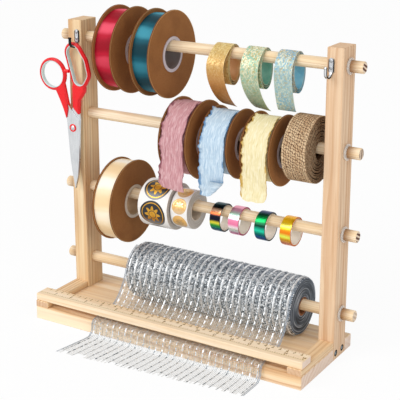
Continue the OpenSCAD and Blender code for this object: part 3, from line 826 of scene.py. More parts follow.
@dataclass(frozen=True)
class MeshWrap(Finish):
    """Many layers of net wound on each other, with foil glinting between them."""

    centre: tuple[float, float]
    outer: float
    left: float
    pitch: float
    dark: Colour = "232b33"
    mid: Colour = "6c757e"
    pale: Colour = "a3abb2"
    bright: Colour = "eef0f2"
    glint: Colour = "f4f6f8"
    shaded: Colour = "56657a"
    end_tones: tuple[Colour, Colour, Colour] = ("1f262f", "4d5a69", "b3bdc9")
    end_rim: Colour = "6d86a6"
    strands: tuple[float, float] = (2.4 * MM, 2.1 * MM)

    def paint(self, graph: Graph) -> None:
        """Draws crossing strands, broken lines of foil outside and a wound end.

        Args:
            graph: The material's graph.
        """
        x = graph.place()[0]
        reach, turn = graph.round(*self.centre)
        side = graph.end_faces(0.5, 0.85)
        far = turn * (TURN * self.outer)
        shake = graph.noise(far * 90, x * 90, 0.0)
        one, two = (abs(((run / pitch + shake * 2) * math.pi).math("SINE"))
                    for run, pitch in zip((far, x), self.strands))
        grain = graph.node("ShaderNodeTexVoronoi", {}, {
            "Vector": graph.vector(far + x * 0.3, x * 0.8, 0.0), "Scale": 720.0}, "Color")
        cloud = graph.noise(far * 45, x * 25, 8.0)
        net = (one * two) * 0.2 + graph.split(grain)[0] * 0.8 + (cloud - 0.5) * 0.12
        colour = graph.ramp(net, [
            (0.2, self.dark), (0.44, self.mid), (0.62, self.pale), (0.82, self.bright)])
        colour = graph.mix((1 - turn.rise(0.26, 0.4)) * 0.3, colour, self.shaded)
        lane = (x - self.left) / self.pitch + (shake - 0.5) * 0.16
        away = abs(lane % 1.0 - 0.5)
        colour = graph.mix((1 - away.rise(0.18, 0.26)) * 0.45, colour, self.dark)
        dash = graph.noise(far * 150, lane.math("FLOOR") * 7.3, 5.0, 1.0).rise(0.3, 0.38)
        foil = (1 - away.rise(0.12, 0.17)) * dash
        colour = graph.mix(foil, colour, self.glint)
        layer = graph.noise(reach * 520, turn * 4, 0.0)
        end = graph.ramp(layer, list(zip((0.34, 0.52, 0.7), self.end_tones)))
        rim = reach.rise(self.outer - 4 * MM, self.outer - 2 * MM)
        end = graph.mix(rim * 0.5, end, self.end_rim)
        colour = graph.mix(side, colour, end)
        graph.surface(Base_Color=colour, Roughness=0.55 - foil * 0.2, Metallic=0.15 * foil,
                      Specular_IOR_Level=0.25,
                      Normal=graph.relief(net * (1 - side) + layer * side, 0.8 * MM, 0.6))


@dataclass(frozen=True)
class Net(Finish):
    """Open net of clear strands."""

    wide: float
    long: float
    floor: float
    pitch: float
    strand: Colour = "e3e4e4"
    dull: Colour = "8f9694"
    lying: Colour = "b4afa5"
    thread: Colour = "737c84"
    lane: float = 2.45 * MM
    pick: float = 2.1 * MM
    half_strand: float = 0.1
    half_thread: float = 0.028
    frayed: float = 0.965

    def paint(self, graph: Graph) -> None:
        """Draws thin strands, dark threads where the net lies on the table, and a frayed end.

        Args:
            graph: The material's graph.
        """
        run, _, far, wide = graph.strip(self.long, self.wide)
        shake = graph.noise(far * 70, wide * 70, 0.0) - 0.5
        one = abs((wide / self.lane + shake * 0.5) % 1.0 - 0.5)
        two = abs((far / self.pick + shake * 0.7) % 1.0 - 0.5)
        line = (one < self.half_strand).math("MAXIMUM", two < self.half_strand)
        tone = graph.noise(far * 260, wide * 260, 4.0)
        colour = graph.mix(tone.rise(0.35, 0.65), self.strand, self.dull)
        lying = run.rise(self.floor - 0.03, self.floor)
        colour = graph.mix(lying * 0.7, colour, self.lying)
        thread = (abs(wide / self.pitch % 1.0 - 0.5) < self.half_thread) * lying
        colour = graph.mix(thread, colour, self.thread)
        gone = (run > self.frayed) * (graph.chance((wide / self.lane).math("FLOOR")) > 0.55)
        seen = (line * (0.25 + 0.6 * run.rise(0.15, 0.3))).math("MAXIMUM", thread * 0.9)
        graph.surface(Base_Color=colour, Roughness=0.5, Specular_IOR_Level=0.2, Alpha=seen * (1 - gone))


@dataclass(frozen=True)
class Foil(Finish):
    """Silver foil, or the dyed cord along an edge."""

    base: Colour = "f2f4f6"
    shade: Colour = "9aa2a9"
    # low and floor: tone and share of the painted dark reflection where the foil lies on the table
    low: Colour = "757f87"
    shine: float = 0.6
    floor: float = 0.0

    def paint(self, graph: Graph) -> None:
        """Draws creases in the foil, with a painted dark reflection where it lies on the table.

        Args:
            graph: The material's graph.
        """
        crease = graph.speckle(300, 3.0, 0.7)
        colour = graph.mix(crease.rise(0.4, 0.7), self.base, self.shade)
        # Painted dark reflection where the foil lies on the table
        lying = (1 - graph.place()[2].rise(3 * MM, 9 * MM)) * self.floor
        colour = graph.mix(lying * crease.rise(0.36, 0.56), colour, self.low)
        graph.surface(Base_Color=colour, Roughness=0.3 + crease * 0.3, Metallic=self.shine,
                      Normal=graph.relief(crease, 0.2 * MM, 0.5))


@dataclass(frozen=True)
class Metal(Finish):
    """Brushed or plated metal."""

    base: Colour
    dark: Colour
    rough: float
    brush: tuple[float, float, float] = (400.0, 400.0, 400.0)

    def paint(self, graph: Graph) -> None:
        """Draws brush marks and faint stains.

        Args:
            graph: The material's graph.
        """
        x, y, z = graph.place()
        mark = graph.noise(x * self.brush[0], y * self.brush[1], z * self.brush[2], 3.0, 0.6)
        stain = graph.speckle(60)
        colour = graph.mix(mark.rise(0.35, 0.8) * 0.45 + stain.rise(0.5, 0.8) * 0.2, self.base, self.dark)
        graph.surface(Base_Color=colour, Metallic=1.0, Roughness=self.rough + mark * 0.14,
                      Normal=graph.relief(mark, 0.05 * MM, 0.4))


@dataclass(frozen=True)
class HookSteel(Finish):
    """Plated hook with dark outlines, whose tongue may be painted black as a dark reflection."""

    at: float
    face: float
    tongue: Colour
    plate: Colour = "c9cbce"
    outline: Colour = "1d1f21"
    half_plate: float = 3.5 * MM
    half_tongue: float = 1.8 * MM

    def paint(self, graph: Graph) -> None:
        """Draws the plate and the tongue, and darkens both towards their sides.

        Args:
            graph: The material's graph.
        """
        x, y, _ = graph.place()
        away = abs(x - self.at)
        bent = y < self.face
        mark = graph.speckle(400, 3.0, 0.6)
        rim = away.rise(self.half_plate - 1.2 * MM, self.half_plate - 0.7 * MM) * (1 - bent)
        rim = rim + away.rise(self.half_tongue - 0.8 * MM, self.half_tongue - 0.4 * MM) * bent
        # The tongue's tone, which on the left hook is a painted dark reflection
        colour = graph.mix(bent, self.plate, self.tongue)
        colour = graph.mix(mark.rise(0.5, 0.8) * 0.3, colour, self.outline)
        colour = graph.mix(rim, colour, self.outline)
        graph.surface(Base_Color=colour, Metallic=0.85, Roughness=0.26 + mark * 0.12)


@dataclass(frozen=True)
class ScrewHead(Finish):
    """Sunk heads with painted shade round each, bright only in the middle."""

    centre: tuple[float, float]
    pitch: float = 19 * MM
    bright: float = 2.3 * MM
    plated: Colour = "c3d2da"
    worn: Colour = "6f7c84"
    # Tone of the painted shade of the hole that each head is sunk in
    sunk: Colour = "0f0c0a"

    def paint(self, graph: Graph) -> None:
        """Draws the heads of a pair of screws, with painted shade of the sunk hole round each, by the
        distance from each axis.

        Args:
            graph: The material's graph.
        """
        _, y, z = graph.place()
        away = abs(y - self.centre[0]) - self.pitch / 2
        up = z - self.centre[1]
        reach = (away * away + up * up).math("SQRT")
        mark = graph.noise(y * 900, z * 900, 0.0)
        # Painted shade round each head's bright middle
        dark = reach.rise(self.bright - 0.3 * MM, self.bright)
        colour = graph.mix(dark, graph.mix(mark, self.plated, self.worn), self.sunk)
        graph.surface(Base_Color=colour, Roughness=0.5, Metallic=0.3 - dark * 0.3, Specular_IOR_Level=0.15)


@dataclass(frozen=True)
class Plastic(Finish):
    """Moulded plastic, gloss or matt."""

    base: Colour = "e8171f"
    deep: Colour = "b80d14"
    rough: float = 0.24
    clear: float = 0.0

    def paint(self, graph: Graph) -> None:
        """Draws faint moulding flow.

        Args:
            graph: The material's graph.
        """
        x, y, z = graph.place()
        flow = graph.noise(x * 120, y * 120, z * 60)
        grain = graph.speckle(2500)
        colour = graph.mix(flow.rise(0.45, 0.8) * 0.35, self.base, self.deep)
        graph.surface(Base_Color=colour, Roughness=self.rough + grain * 0.08, Alpha=1 - self.clear,
                      Specular_IOR_Level=0.35, Normal=graph.relief(grain, 0.03 * MM, 0.3))


@dataclass(frozen=True)
class Ink(Finish):
    """Printed figures."""

    base: Colour = "7d5d14"
    worn: Colour = "a17f35"

    def paint(self, graph: Graph) -> None:
        """Draws ink that is thin in places."""
        thin = graph.speckle(1500)
        graph.surface(Base_Color=graph.mix(thin * 0.6, self.base, self.worn), Roughness=0.6)


class Bench:
    """Modelling steps that every sub-assembly uses."""

    @staticmethod
    def mode(name: str) -> None:
        """Goes to edit mode or back to object mode."""
        bpy.ops.object.mode_set(mode=name)

    @staticmethod
    def clear() -> None:
        """Leaves edit mode and deselects everything."""
        if bpy.context.object and bpy.context.object.mode != "OBJECT":
            Bench.mode("OBJECT")
        bpy.ops.object.select_all(action="DESELECT")

    @staticmethod
    def pick(piece: Piece) -> None:
        """Makes one piece the only one that is selected.

        Args:
            piece: The piece.
        """
        Bench.clear()
        piece.select_set(True)
        bpy.context.view_layer.objects.active = piece

    @staticmethod
    def named(name: str) -> Piece:
        """Names the piece that was just added.

        Args:
            name: Its name.

        Returns:
            The piece.
        """
        piece = bpy.context.object
        piece.name = piece.data.name = name
        return piece

    @staticmethod
    def tidy(piece: Piece, angle: float = 40.0, merge: float = 0.001 * MM, turn: bool = True) -> None:
        """Merges doubles, points the faces outwards and shades them smooth.

        Args:
            piece: The piece.
            angle: Edges sharper than this stay sharp.
            merge: Points closer than this are one.
            turn: Whether the normals are worked out anew.
        """
        Bench.pick(piece)
        Bench.mode("EDIT")
        bpy.ops.mesh.select_all(action="SELECT")
        if merge > 0:
            bpy.ops.mesh.remove_doubles(threshold=merge)
        if turn:
            bpy.ops.mesh.normals_make_consistent(inside=False)
        Bench.mode("OBJECT")
        bpy.ops.object.shade_smooth_by_angle(angle=math.radians(angle))

    @staticmethod
    def apply(piece: Piece, kind: str, **settings: Any) -> None:
        """Adds a modifier with its settings and applies it.

        Args:
            piece: The piece.
            kind: The modifier's type.
            settings: Its settings.
        """
        Bench.pick(piece)
        modifier = piece.modifiers.new(kind.title(), kind)
        for key, value in settings.items():
            setattr(modifier, key, value)
        bpy.ops.object.modifier_apply(modifier=modifier.name)

    @staticmethod
    def grid(name: str, along: int, across: int, place: Place) -> Piece:
        """Adds a grid and lays each of its points where it belongs.

        Args:
            name: The piece's name.
            along: Number of faces along it.
            across: Number of faces across it.
            place: Gives the point for a share along and a share across.

        Returns:
            The piece, with the shares as its map.
        """
        Bench.clear()
        bpy.ops.mesh.primitive_grid_add(x_subdivisions=along, y_subdivisions=across, size=1.0)
        piece = Bench.named(name)
        for vertex in piece.data.vertices:
            vertex.co = place(vertex.co.x + 0.5, vertex.co.y + 0.5)
        piece.data.update()
        bpy.ops.object.shade_smooth()
        return piece

    @staticmethod
    def part(piece: Piece, between: Callable[[int], bool]) -> None:
        """Parts a grid into strips by taking faces out of it.

        Args:
            piece: The grid.
            between: Says by its number whether a face lies between two strips.
        """
        Bench.pick(piece)
        Bench.mode("EDIT")
        bpy.ops.mesh.select_all(action="DESELECT")
        Bench.mode("OBJECT")
        for face in piece.data.polygons:
            face.select = between(face.index)
        Bench.mode("EDIT")
        bpy.ops.mesh.select_mode(type="FACE")
        bpy.ops.mesh.delete(type="ONLY_FACE")
        Bench.mode("OBJECT")

    @staticmethod
    def ring(name: str, axis: tuple[float, float], ends: tuple[float, float], bore: float,
             reach: Callable[[float, float], float], around: int, across: int) -> Piece:
        """Makes a wound ring about an axis along X.

        Args:
            name: The piece's name.
            axis: Where the axis lies, as y and z.
            ends: The ring's left and right ends.
            bore: Radius of the bore.
            reach: Gives the outer radius for a share round and a share across.
            around: Number of faces round it.
            across: Number of faces across its outside.

        Returns:
            The closed piece.
        """
        steps = across + 3

        def place(share: float, row: float) -> Vector:
            """Walks up the left side, over the outside, down the right side and back.

            Args:
                share: Share of a turn.
                row: Share of the walk.

            Returns:
                The point.
            """
            step = round(row * steps)
            if step in (0, across + 2, steps):
                part, radius = (1.0 if step == across + 2 else 0.0), bore
            else:
                part = (step - 1) / across
                radius = reach(share, part)
            angle = TURN * share - math.pi
            x = ends[0] + (ends[1] - ends[0]) * part
            return Vector((x, axis[0] + radius * math.cos(angle), axis[1] + radius * math.sin(angle)))

        piece = Bench.grid(name, around, steps, place)
        Bench.tidy(piece)
        return piece

    @staticmethod
    def copy(node: str, name: str) -> Piece:
        """Copies a node's shape into a new merged piece.

        Args:
            node: The node.
            name: The piece's name.

        Returns:
            The piece.
        """
        Bench.clear()
        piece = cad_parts[node].copy()
        piece.data = piece.data.copy()
        for key in list(piece.keys()):
            del piece[key]
        piece.parent = None
        bpy.context.scene.collection.objects.link(piece)
        piece.name = piece.data.name = name
        Bench.tidy(piece, merge=0.01 * MM, turn=False)
        return piece


def middle(node: str) -> tuple[float, float]:
    """Gives the y and z of the middle of a node's box."""
    low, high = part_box(node)
    return (low.y + high.y) / 2, (low.z + high.z) / 2


def width(node: str) -> tuple[float, float]:
    """Gives the left and right ends of a node's box."""
    low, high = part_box(node)
    return low.x, high.x


def half_height(node: str) -> float:
    """Gives half the height of a node's box."""
    low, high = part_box(node)
    return (high.z - low.z) / 2


def ripple(x: float, y: float, z: float) -> float:
    """Gives smooth noise from -1 to 1 at a place that is already scaled."""
    return noise.noise(Vector((x, y, z)))


class Route:
    """A path of (y, z) points that is walked by its length."""

    def __init__(self, points: Sequence[tuple[float, float]]) -> None:
        """Keeps the points and adds up the steps between them.

        Args:
            points: The points as (y, z).
        """
        self.points = [Vector((0.0, *p)) for p in points]
        self.marks = [0.0]
        for before, after in zip(self.points, self.points[1:]):
            self.marks.append(self.marks[-1] + (after - before).length)

    @property
    def length(self) -> float:
        """Gives the whole length."""
        return self.marks[-1]

    def at(self, share: float) -> tuple[Vector, Vector]:
        """Walks to a share of the length, with the normal at the left of the walk.

        Args:
            share: Share of the length.

        Returns:
            The point and the normal.
        """
        goal = min(max(share, 0.0), 1.0) * self.length
        low, high = 0, len(self.marks) - 1
        while high - low > 1:
            half = (low + high) // 2
            low, high = (half, high) if self.marks[half] <= goal else (low, half)
        part = (goal - self.marks[low]) / max(self.marks[high] - self.marks[low], 1e-9)
        here = self.points[low].lerp(self.points[high], part)
        ways = [self._way(low), self._way(high)]
        way = ways[0].lerp(ways[1], part).normalized()
        return here, Vector((0.0, -way.z, way.y))

    def _way(self, index: int) -> Vector:
        """Gives the direction of the walk at one point."""
        last = len(self.points) - 1
        return (self.points[min(index + 1, last)] - self.points[max(index - 1, 0)]).normalized()


def bend(points: Sequence[tuple[float, float]], steps: int) -> list[tuple[float, float]]:
    """Runs a smooth line through points.

    Args:
        points: The points as (y, z).
        steps: Number of steps between two of them.

    Returns:
        The points of the line.
    """
    held = [points[0], *points, points[-1]]
    line = [points[0]]
    for i in range(1, len(held) - 2):
        a, b, c, d = (Vector(p) for p in held[i - 1:i + 3])
        for step in range(1, steps + 1):
            t = step / steps
            p = 0.5 * (2 * b + (c - a) * t + (2 * a - 5 * b + 4 * c - d) * t ** 2
                       + (3 * b - a - 3 * c + d) * t ** 3)
            line.append((p.x, p.y))
    return line


def pulled(pulls: Sequence[Vector], steps: int) -> list[tuple[float, float]]:
    """Runs a curve from the first of four points to the last, pulled towards the two between them.

    Args:
        pulls: The four points as (y, z).
        steps: Number of steps along the curve.

    Returns:
        The points of the curve after its first.
    """
    line = []
    for i in range(1, steps + 1):
        t = i / steps
        s = 1 - t
        p = s ** 3 * pulls[0] + 3 * s * s * t * pulls[1] + 3 * s * t * t * pulls[2] + t ** 3 * pulls[3]
        line.append((p.x, p.y))
    return line


@dataclass
class WoodFrame:
    """Base board, posts, strips and ruler bar, with their screws and hooks."""

    number_height: float = 5.2 * MM
    number_bold: float = 0.24 * MM
    number_lift: float = 0.06 * MM
    inch_row: float = 0.45
    cm_row: float = 0.23
    cm_height: float = 0.6
    end_margin: float = 3 * MM
    plate: float = 1.7 * MM

    def build(self) -> list[Piece]:
        """Dresses the wood and the metal, and prints the ruler's figures.

        Returns:
            The new pieces.
        """
        BasePine("base pine", "pine", Axis.X, (0.02, -0.05), 8.5 * MM, "fae4c6", "eecb9c", "c08a58", "ead6c8",
                 depth=0.65, cut=0.85, left=width("base_board")[0]).on_node("base_board")
        Pine("left post pine", "pine", Axis.Z, (-0.17, -0.06), 6 * MM, "f3dcb4", "e4be8d", "b98350", "dcb48a",
             depth=0.6).on_node("left_post")
        Pine("right post pine", "pine", Axis.Z, (0.222, -0.035), 7 * MM, "ebcfae", "dcb690", "bb8452",
             "dcb48a", depth=0.65).on_node("right_post")
        Pine("strip pine", "pine", Axis.Y, (0.0, 0.16), 5 * MM, "f0d4ac", "dfb888", "b9824f", "cfa88a",
             depth=0.7).on_node("left_strip", "right_strip")
        low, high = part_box("ruler_bar")
        RulerPine("ruler pine", "ruler_pine", Axis.X, (-0.03, -0.08), 7 * MM, "fbe8cd", "f4d9b3", "dcb080",
                  "ead5c8", depth=0.45, cut=0.85, left=low.x, back=high.y,
                  deep=high.y - low.y).on_node("ruler_bar")
        ScrewHead("screw zinc", "zinc", middle("post_screws")).on_node("post_screws")
        Metal("tack nickel", "nickel", "b0b2b5", "3b3e42", rough=0.3).on_node("hook_screws")
        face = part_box("left_post")[0].y - self.plate
        # The left hook's black tongue is a painted dark reflection
        for side, tongue in (("left", "17181a"), ("right", "d8dadc")):
            HookSteel(f"{side} hook steel", "nickel", sum(width(f"{side}_hook")) / 2, face, tongue).on_node(
                f"{side}_hook")
        return [self._figures(low, high)]

    def _figures(self, low: Vector, high: Vector) -> Piece:
        """Prints the figures of both scales on the ruler's top.

        Args:
            low: Lowest corner of the ruler bar.
            high: Its highest corner.

        Returns:
            All the figures as one piece.
        """
        rows = [(INCH, self.inch_row, self.number_height),
                (10 * MM, self.cm_row, self.number_height * self.cm_height)]
        made = []
        for pitch, share, tall in rows:
            for count in range(1, int((high.x - low.x - self.end_margin) / pitch) + 1):
                Bench.clear()
                bpy.ops.object.text_add(location=(
                    low.x + count * pitch, high.y - share * (high.y - low.y) - tall / 3,
                    high.z + self.number_lift))
                figure = bpy.context.object
                figure.data.body = str(count)
                figure.data.align_x = "CENTER"
                figure.data.size = tall
                figure.data.offset = self.number_bold
                figure.data.resolution_u = 2
                bpy.ops.object.convert(target="MESH")
                bpy.ops.object.transform_apply(location=True, rotation=True, scale=True)
                made.append(bpy.context.object)
        Bench.clear()
        for figure in made:
            figure.select_set(True)
        bpy.context.view_layer.objects.active = made[0]
        bpy.ops.object.join()
        piece = Bench.named("ruler_figures")
        bpy.ops.object.transform_apply(location=True, rotation=True, scale=True)
        Ink("scale ink", "ruler_pine").on_piece(piece)
        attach(piece, "frame")
        return piece


@dataclass
class Rods:
    """The four turning rods and the clear rings that hold them."""

    # How far the rings of each rod's end lean, and how bold they are
    ends: tuple[tuple[float, float], ...] = ((1.1, 0.95), (0.2, 0.8), (1.1, 0.95), (1.0, 0.3))
    pith_back: float = -30 * MM
    pith_step: float = 8 * MM
    pith_up: float = 25 * MM

    def build(self) -> list[Piece]:
        """Dresses rods and rings.

        Returns:
            The new pieces.
        """
        for number, (lean, bold) in enumerate(self.ends, 1):
            y, z = middle(f"rod_{number}")
            pith = (y + self.pith_back + self.pith_step * number, z + self.pith_up)
            RodPine(f"rod {number} pine", "rod_wood", Axis.X, pith, 2.6 * MM,
                    "fbe9cd", "efd4ab", "c79a68", "ecd9c4", depth=0.5, cut=0.85,
                    face=width("right_post")[1], lean=lean, bold=bold).on_node(f"rod_{number}")
            Plastic("clear ring", "clear_ring", "f6f1ea", "e3dad0", rough=0.25, clear=0.55).on_node(
                f"rings_{number}")
        return []


SPOOL_CORES = {"red": 23.6 * MM, "teal": 23.6 * MM, "cream": 23.6 * MM, "pink": 25.3 * MM,
               "blue": 22.9 * MM, "yellow": 22.9 * MM}
CORE_WALL = 4.4 * MM
SPOOL_GAP = 0.2 * MM
CORE_GAP = 0.15 * MM
CREAM_CORE = {"hub": "eadbc6", "inside": "f3d9b4"}


def dress_spool(colour: str) -> tuple[float, float]:
    """Gives a spool its board finish.

    Args:
        colour: Name of its ribbon.

    Returns:
        Where its axis lies, as y and z.
    """
    node = f"{colour}_spool"
    axis, core = middle(node), SPOOL_CORES[colour]
    tones = CREAM_CORE if colour == "cream" else {}
    Kraft(f"{colour} kraft", "kraft", axis, half_height(node), core, core - CORE_WALL, **tones).on_node(node)
    return axis


@dataclass
class SatinSpool:
    """A spool of satin ribbon."""

    colour: str
    base: Colour
    # deep also gives the painted shade between the bands, glow the painted highlight
    deep: Colour
    glow: Colour
    step: float = 0.5 * MM
    wave: float = 0.22 * MM
    around: int = 144
    across: int = 14
    seed: float = 0.0

    def build(self) -> list[Piece]:
        """Winds the ribbon and dresses the spool.

        Returns:
            The new pieces.
        """
        axis = dress_spool(self.colour)
        node = f"{self.colour}_ribbon"
        outer = half_height(node)

        def reach(share: float, part: float) -> float:
            """Outer radius, which steps at the free end and gives a little between layers.

            Args:
                share: Share of a turn.
                part: Share across.

            Returns:
                The radius.
            """
            lip = 1 - 0.5 * min(1.0, 8 * min(part, 1 - part))
            sway = ripple(share * 9 + self.seed, part * 1.6, self.seed) * math.sin(TURN * share / 2) ** 2
            return outer - self.step * (1 - share) - self.wave * (0.6 + sway) * lip

        piece = Bench.ring(f"{self.colour}_winding", axis, width(node), SPOOL_CORES[self.colour] + SPOOL_GAP,
                           reach, self.around, self.across)
        Satin(f"{self.colour} satin", f"{self.colour}_satin", self.base, self.deep, self.glow,
              axis, width(node)[1]).on_piece(piece)
        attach(piece, f"{self.colour}_reel")
        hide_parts(node)
        return [piece]


@dataclass
class FrilledSpool:
    """A spool of crinkled ribbon whose loose end hangs over its front."""

    colour: str
    # fold and pale are the painted shade and painted highlight of the crinkles; edge also carries painted
    # shade
    base: Colour
    fold: Colour
    pale: Colour
    edge: Colour
    phase: float
    slant: float
    corner: float = 0.0
    trims: tuple[float, float] = (6 * MM, 6 * MM)
    start: float = math.radians(100)
    margin: float = 2.5 * MM
    flare: float = 5 * MM
    flare_from: float = 0.6
    sunk: float = 0.9 * MM
    stand_off: float = 0.7 * MM
    thick: float = 0.35 * MM
    curl: float = 1.4 * MM
    belly: float = 2 * MM
    frill: float = 2 * MM
    waves: float = 4.5
    # How far the winding's frills and creases stand up
    wound_frill: float = 0.75 * MM
    wound_crease: float = 0.4 * MM
    # How far the tail's slow and quick frills, its crinkles and its creases stand out
    slow: float = 1.6 * MM
    quick: float = 2.2 * MM
    crinkle: float = 0.35 * MM
    crease: float = 0.2 * MM
    # How far the tail's edges draw in, how much less on the right, and how ragged its end is
    bite: float = 2.2 * MM
    spared: float = 0.8 * MM
    fray: float = 1.3 * MM
    over_steps: int = 24
    fall_steps: int = 40
    seed: float = 0.0

    def build(self) -> list[Piece]:
        """Winds the ribbon, hangs its tail and dresses the spool.

        Returns:
            The new pieces.
        """
        axis = dress_spool(self.colour)
        pieces = [self._winding(axis), self._tail(axis)]
        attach(pieces[0], f"{self.colour}_reel")
        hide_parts(f"{self.colour}_ribbon")
        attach(pieces[1], "frame")
        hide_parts(f"{self.colour}_tail")
        return pieces

    def _finish(self, name: str, wide: float, long: float) -> Gauze:
        """Gives the ribbon's finish for a stretch of it."""
        return Gauze(name, f"{self.colour}_chiffon", self.base, self.fold, self.pale, self.edge, wide, long)

    def _winding(self, axis: tuple[float, float]) -> Piece:
        """Winds the layers under the tail, with frills that push against the flanges.

        Args:
            axis: Where the spool's axis lies, as y and z.

        Returns:
            The piece.
        """
        node = f"{self.colour}_ribbon"
        outer, ends = half_height(node), width(node)

        def reach(share: float, part: float) -> float:
            """Outer radius, which rises and falls in frills towards the edges.

            Args:
                share: Share of a turn.
                part: Share across.

            Returns:
                The radius.
            """
            side = abs(2 * part - 1)
            frill = 1.6 * ripple(share * 30, part * 2, self.seed) + 0.4 * math.sin(TURN * 22 * share)
            crease = ripple(share * 60, part * 7, self.seed)
            return outer - self.sunk + self.wound_frill * side ** 4 * frill + self.wound_crease * crease

        piece = Bench.ring(f"{self.colour}_winding", axis, ends, SPOOL_CORES[self.colour] + SPOOL_GAP,
                           reach, around=288, across=24)
        self._finish(f"{self.colour} wound gauze", ends[1] - ends[0], TURN * outer).on_piece(piece)
        return piece

    def _tail(self, axis: tuple[float, float]) -> Piece:
        """Lays the tail over the front of the roll and lets it hang.

        Args:
            axis: Where the spool's axis lies, as y and z.

        Returns:
            The piece.
        """
        node = f"{self.colour}_tail"
        radius = half_height(f"{self.colour}_ribbon") + self.stand_off
        left, right = (end + sign * self.margin for end, sign in zip(width(f"{self.colour}_spool"), (1, -1)))
        drop = axis[1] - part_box(node)[0].z - max(self.slant, 0.0)
        over = [(axis[0] + radius * math.cos(a), axis[1] + radius * math.sin(a))
                for a in (self.start + (math.pi - self.start) * i / self.over_steps
                          for i in range(self.over_steps + 1))]
        fall = [(axis[0] - radius + self.belly * f * math.sin(TURN * f + self.phase), axis[1] - drop * f)
                for f in (i / self.fall_steps for i in range(1, self.fall_steps + 1))]
        route = Route(over + fall)
        wide = right - left

        def place(share: float, part: float) -> Vector:
            """Gives the cloth at a share down the tail and across it.

            Args:
                share: Share along.
                part: Share across.

            Returns:
                The point.
            """
            side = 2 * part - 1
            share *= 1 - self._trim(side, wide) / route.length
            share, part_x, lift = self._folded(share, part, route.length, wide)
            here, normal = route.at(share)
            rim = abs(side)
            wave = 0.5 + 0.5 * math.sin(TURN * self.waves * share + self.phase + math.pi / 2 * side)
            hand = math.copysign(3.7, side)
            slow = 0.5 + 0.9 * ripple(share * 9, hand, self.seed)
            quick = 0.5 + 0.9 * ripple(share * 34, hand, self.seed + 4)
            out = self.frill * rim ** 3 * wave + rim ** 5 * (self.slow * slow + self.quick * quick)
            out += self.crinkle * (1 + ripple(share * 30, part * 9, self.seed))
            out += self.crease * (1 + ripple(share * 40, part * 36, self.seed + 9)) + lift
            bite = max(0.0, self.bite * rim ** 4 * (2 - slow - quick) - (side > 0) * self.spared)
            down = self.slant * share ** 3 * (1 - side) / 2
            ragged = self.fray * ripple(part * 5, self.seed, 2.0) * max(0.0, share - 0.9) * 10
            spread = self.flare * max(0.0, share - self.flare_from) * (part_x - 0.5) / (1 - self.flare_from)
            x = left + wide * part_x + spread - math.copysign(bite, side)
            return Vector((x, here.y, here.z - down + ragged)) - normal * out

        piece = Bench.grid(f"{self.colour}_tail_cloth", along=150, across=44, place=place)
        Bench.apply(piece, "SOLIDIFY", thickness=self.thick, offset=0.0)
        Bench.tidy(piece, angle=60.0, merge=0.0, turn=False)
        self._finish(f"{self.colour} hung gauze", wide, route.length).on_piece(piece)
        return piece

    def _trim(self, side: float, wide: float) -> float:
        """Gives the length that the rounded lower corners leave out at one place across.

        Args:
            side: Place across, from -1 to 1.
            wide: The tail's width.

        Returns:
            The length.
        """
        radius = self.trims[0] if side < 0 else self.trims[1]
        inside = (abs(side) * wide / 2 - (wide / 2 - radius)) / radius
        return radius * (1 - math.sqrt(1 - min(max(inside, 0.0), 1.0) ** 2))

    def _folded(self, share: float, part: float, long: float, wide: float) -> tuple[float, float, float]:
        """Turns the lower right corner up where the tail has a fold.

        Args:
            share: Share along the tail.
            part: Share across it.
            long: The tail's length.
            wide: Its width.

        Returns:
            The share along, the share across and how far the cloth stands off.
        """
        if self.corner <= 0:
            return share, part, 0.0
        past = ((share - 1) * long + (part - 1) * wide) / math.sqrt(2) + self.corner
        if past <= 0:
            return share, part, 0.0
        shift = math.sqrt(2) * past
        return share - shift / long, part - shift / wide, min(past, self.curl)


@dataclass
class BurlapRoll:
    """A strip of burlap wound on itself."""

    thick: float = 1.25 * MM
    pitch: float = 2.2 * MM
    bore: float = 11 * MM
    outer: float = 44 * MM
    slack: float = 0.55 * MM
    rod_top: float = 7.8 * MM
    inset: float = 0.8 * MM
    edge: float = 0.6 * MM
    stray: float = 0.9 * MM
    rough: float = 0.2 * MM
    turn_steps: int = 72

    def build(self) -> list[Piece]:
        """Winds the strip from the rod outwards.

        Returns:
            The new pieces.
        """
        axis = (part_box("rod_2")[0].y + half_height("rod_2"), middle("rod_2")[1] + self.rod_top - self.bore)
        inner = self.bore + self.inset
        turns = (self.outer - self.inset - inner) / self.pitch
        count = int(turns * self.turn_steps)
        points = []
        for i in range(count + 1):
            turn = turns * i / count
            sway = math.sin(2.3 * turn + 1.1 * math.sin(TURN * turn))
            loose = self.slack * math.sin(math.pi * turn / turns) * sway
            reach = inner + self.pitch * turn + loose
            angle = TURN * (0.25 - turn)
            points.append((axis[0] + reach * math.cos(angle), axis[1] + reach * math.sin(angle)))
        route = Route(points)
        left, right = width("burlap_roll")

        def place(share: float, part: float) -> Vector:
            """Gives the strip, whose edges wander a little.

            Args:
                share: Share along.
                part: Share across.

            Returns:
                The point.
            """
            here, normal = route.at(share)
            stray = self.stray * ripple(share * 55, part, 3.0) * (2 * part - 1) ** 2
            rough = self.rough * ripple(share * 260, part * 6, 1.0)
            x = left + self.edge + (right - left - 2 * self.edge) * part + stray
            return Vector((x, here.y, here.z)) + normal * rough

        piece = Bench.grid("burlap_strip", along=800, across=8, place=place)
        Bench.apply(piece, "SOLIDIFY", thickness=self.thick, offset=0.0)
        Bench.tidy(piece, angle=50.0, merge=0.0, turn=False)
        last = TURN * self.outer / route.length
        Jute("jute", "burlap", right - left, route.length, last).on_piece(piece)
        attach(piece, "burlap")
        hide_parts("burlap_roll")
        return [piece]


